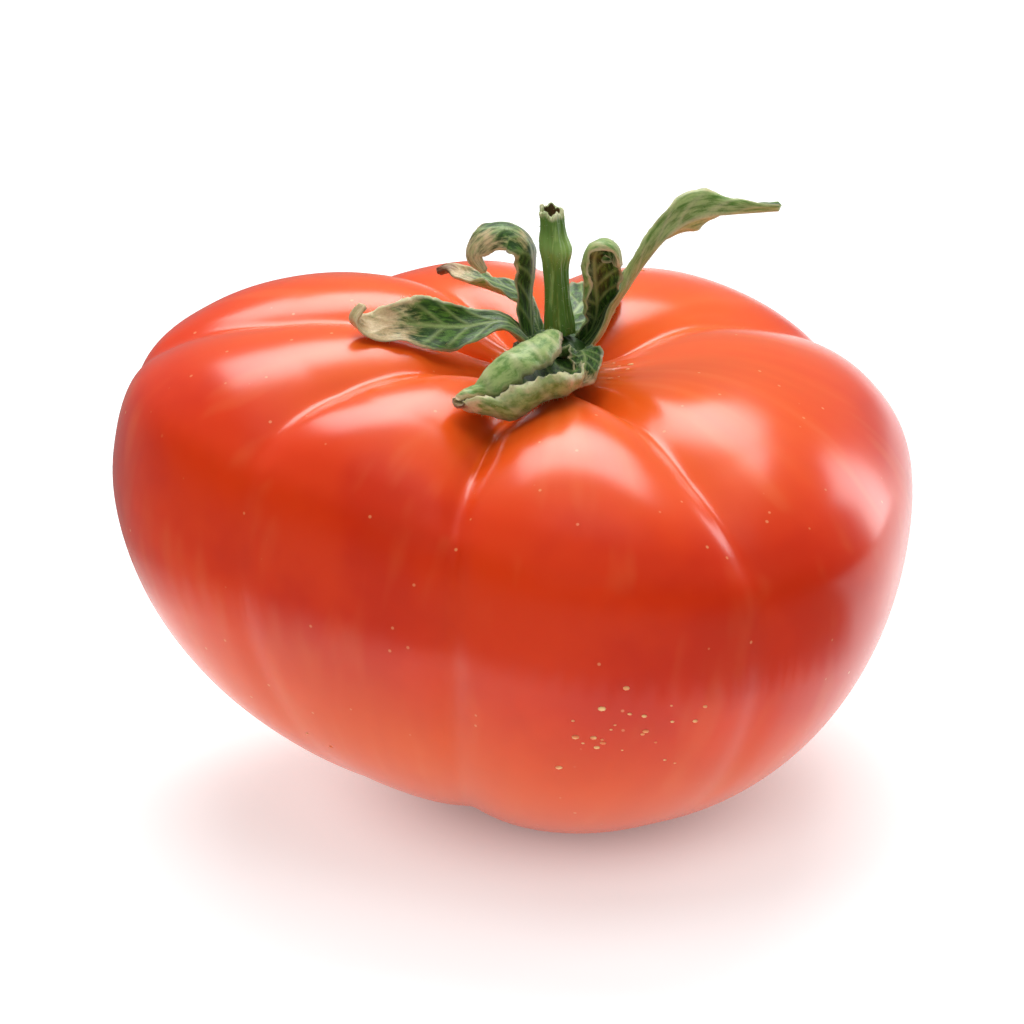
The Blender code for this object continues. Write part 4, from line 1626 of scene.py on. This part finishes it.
@dataclass
class Flecks:
    """Small raised corky flecks, thick in a few patches of the skin."""

    fleck_radius: float = tree_size(0.48 * MM)
    slenderness: float = 0.72
    height_share: float = 0.13 / 0.48
    scattered: float = 0.6e3
    scales: tuple[float, float] = (0.30, 1.10)
    seed: int = 11
    patches: tuple[Patch, ...] = (
        Patch((5.0 * MM, -41.0 * MM, 23.5 * MM), 4.5 * MM, 2.6e5),
        Patch((13.0 * MM, -40.9 * MM, 26.8 * MM), 2.2 * MM, 2.4e5),
        Patch((4.8 * MM, -1.0 * MM, 53.6 * MM), 4.0 * MM, 1.2e5),
    )

    def tree(self) -> ShapeTree:
        """The tree that lays flecks on the skin that it is given.

        Returns:
            The tree.
        """
        shape = ShapeTree("corky_flecks")
        sizes = shape.sizes_of(self)
        density = self.scattered
        for patch in self.patches:
            off = shape.position().vector_math("DISTANCE", patch.centre)
            density = off.hump(0.0, patch.spread) * patch.density + density
        ball = {"Segments": 7, "Rings": 4, "Radius": sizes.fleck_radius}
        ball = shape.node("GeometryNodeMeshUVSphere", ball).outputs["Mesh"]
        flat = {"Geometry": ball, "Scale": (1.0, self.slenderness, self.height_share)}
        fleck = shape.node("GeometryNodeTransform", flat).outputs["Geometry"]
        flecks = shape.strewn(fleck, density, self.seed, self.scales, self.seed)
        colours = (Colour.GOLD_FLECK, Colour.BLUSH)
        finish = PlainFinish("cork_gold", *colours, patch_size=1.1 * MM, roughness=0.45)
        shape.finished(flecks, finish.material())
        return shape


@dataclass(frozen=True)
class Softbox:
    """A soft lamp: its place, what it faces, its width, its depth, its radiance, how wide it spreads in degrees
    and whether gloss mirrors it."""

    name: str
    place: tuple[float, float, float]
    target: tuple[float, float, float]
    width: float
    depth: float
    radiance: float
    spread: float = 180.0
    mirrored: bool = True

    def build(self) -> None:
        """Sets up the lamp."""
        lamp = bpy.data.lights.new(self.name, "AREA")
        lamp.shape = "RECTANGLE"
        lamp.size = self.width
        lamp.size_y = self.depth
        lamp.energy = self.radiance * math.pi * self.width * self.depth
        lamp.spread = math.radians(self.spread)
        holder = added(self.name, lamp)
        holder.visible_glossy = self.mirrored
        holder.location = self.place
        facing = Vector(self.target) - Vector(self.place)
        holder.rotation_euler = facing.to_track_quat("-Z", "Y").to_euler()


@dataclass
class Studio:
    """The white table, the soft lamps, the dim room and the camera."""

    table_size: float = 6.0
    table_roughness: float = 0.6
    table_glow: float = 0.56
    painted_contact_shadow: float = 0.7
    contact_radius: float = 10.0 * MM
    contact_reach: float = 34.0 * MM
    near_table_radius: float = 66.0 * MM
    tooth_length: float = 28.0 * MM
    table_teeth: int = 72
    room_light: float = 0.08
    light_from_behind: float = 0.22
    light_from_above: float = 0.20
    camera_elevation: float = 21.0
    camera_distance: float = 0.8
    nearest_seen: float = 0.01
    target: Vector = field(default_factory=lambda: Vector((-8.04, 1.14, 29.74)) * MM)
    framing_lift: float = 4.55 * MM
    view_width: float = 122.55 * MM
    lamps: tuple[Softbox, ...] = (
        Softbox("overhead_softbox", (0.0, 0.39, 0.60), (0.0, 0.05, 0.0), 0.62, 0.34, 1.9, 90.0),
        Softbox("table_fill", (0.0, -0.05, 0.75), (0.0, -0.03, 0.0), 0.60, 0.40, 0.8, 80.0, False),
        Softbox("front_fill", (-0.20, -0.75, 0.40), (0.0, 0.0, 0.03), 0.70, 0.50, 1.2, 180.0, False),
        Softbox("right_strip", (0.55, 0.48, 0.22), (0.04, -0.01, 0.05), 0.22, 0.42, 4.1),
    )

    def table_white(self) -> bpy.types.Material:
        """The table's white, which glows by itself though it is no lamp, with a painted contact shadow: the glow
        is dimmed close round the fruit's contact.

        Returns:
            The material.
        """
        shader = Shader("table_white")
        # Painted contact shadow: the table's own glow is dimmed close round where the fruit stands.
        near = shader.object_place().vector_math("LENGTH").eased(self.contact_reach, self.contact_radius)
        glow = (1.0 - near * self.painted_contact_shadow) * self.table_glow
        shader.set(Base_Color=Colour.TABLE_WHITE, Roughness=self.table_roughness)
        shader.set(Emission_Color=Colour.LAMP_WHITE, Emission_Strength=glow)
        shader.material.cycles.emission_sampling = "NONE"
        return shader.material

    def table(self) -> None:
        """The lit table that the tomato rests on, in two parts that meet edge to edge: the skin mirrors the one
        close round it and behind it to the right, but not the other. Where they meet, teeth fade the mirrored
        part out."""
        half = self.table_size / 2.0
        middle = self.target.x
        arc = []
        for tooth in range(self.table_teeth + 1):
            turn = math.pi * (0.5 + 1.5 * tooth / self.table_teeth)
            radius = self.near_table_radius + self.tooth_length * (tooth % 2)
            arc.append((middle + radius * math.cos(turn), radius * math.sin(turn), 0.0))
        right, corner, behind = (half, 0.0, 0.0), (half, half, 0.0), (middle, half, 0.0)
        mirrored_part = [*arc, right, corner, behind]
        far_corners = [(-half, half, 0.0), (-half, -half, 0.0), (half, -half, 0.0)]
        other_part = [behind, *far_corners, right, *reversed(arc)]
        finish = self.table_white()
        parts = (("white_table", mirrored_part, True), ("white_table_front", other_part, False))
        for name, outline, mirrored in parts:
            mesh = bpy.data.meshes.new(name)
            mesh.from_pydata(outline, [], [range(len(outline))])
            mesh.materials.append(finish)
            table = added(name, mesh)
            table.visible_glossy = mirrored

    def room(self) -> None:
        """The room's light: brighter overhead and behind, dim on the camera's side."""
        world = bpy.data.worlds.new("studio_room")
        world.use_nodes = True
        bpy.context.scene.world = world
        tree = world.node_tree
        _, y, z = Term(tree, tree.nodes.new("ShaderNodeTexCoord").outputs["Generated"]).parts()
        light = self.room_light + y.eased(-0.2, 0.8) * self.light_from_behind
        light = light + z.eased(0.3, 1.0) * self.light_from_above
        background = tree.nodes["Background"]
        feed(tree, background.inputs["Strength"], light)
        feed(tree, background.inputs["Color"], Colour.LAMP_WHITE)

    def camera(self) -> None:
        """The camera at the photograph's viewing angle."""
        elevation = math.radians(self.camera_elevation)
        back = Vector((0.0, -math.cos(elevation), math.sin(elevation)))
        up = Vector((0.0, math.sin(elevation), math.cos(elevation)))
        lens = bpy.data.cameras.new("photo_camera")
        lens.lens = lens.sensor_width * self.camera_distance / self.view_width
        lens.clip_start = self.nearest_seen
        holder = added("photo_camera", lens)
        holder.location = self.target + up * self.framing_lift + back * self.camera_distance
        holder.rotation_euler = (-back).to_track_quat("-Z", "Y").to_euler()
        bpy.context.scene.camera = holder

    def build(self) -> None:
        """Sets up everything round the tomato."""
        self.camera()
        self.table()
        self.room()
        for lamp in self.lamps:
            lamp.build()
        bpy.context.scene.view_settings.view_transform = "Standard"


def skin_about(mesh: bpy.types.Mesh, centre: Vector) -> BVHTree:
    """The skin for clearance tests, about another centre."""
    places = [vert.co - centre for vert in mesh.vertices]
    return BVHTree.FromPolygons(places, [face.vertices for face in mesh.polygons])


def main() -> None:
    """Builds the studio, the fruit, the calyx, the stem and their fine detail."""
    logging.basicConfig(level=logging.INFO, format="%(name)s: %(message)s")
    Studio().build()

    fruit = Fruit()
    skin = fruit.skin()
    pit_floor = fruit.pit_floor(skin)
    clearance = skin_about(skin, pit_floor)
    on_pit_floor = fruit.rest.matrix() @ Matrix.Translation(pit_floor)

    calyx = Calyx()
    sepals = calyx.blades(clearance)
    disc = calyx.disc(clearance, sepals.materials[0])
    stub = Stem().build()
    tomato = fruit.build(skin)
    for mesh in (sepals, disc, stub):
        mesh.transform(on_pit_floor)

    as_piece("sepals", sepals, "calyx_green", "calyx")
    as_piece("calyx_disc", disc, "calyx_green", "calyx")
    as_piece("stem_stub", stub, "stem_green", "stem")
    hairs = Hairs().tree()
    as_piece("sepal_hairs", hairs.made("sepal_hairs", sepals), "calyx_green")
    as_piece("stem_hairs", hairs.made("stem_hairs", stub), "stem_green")
    as_piece("corky_flecks", Flecks().tree().made("corky_flecks", tomato.data), "fruit_skin")


if __name__ == "__main__":
    main()
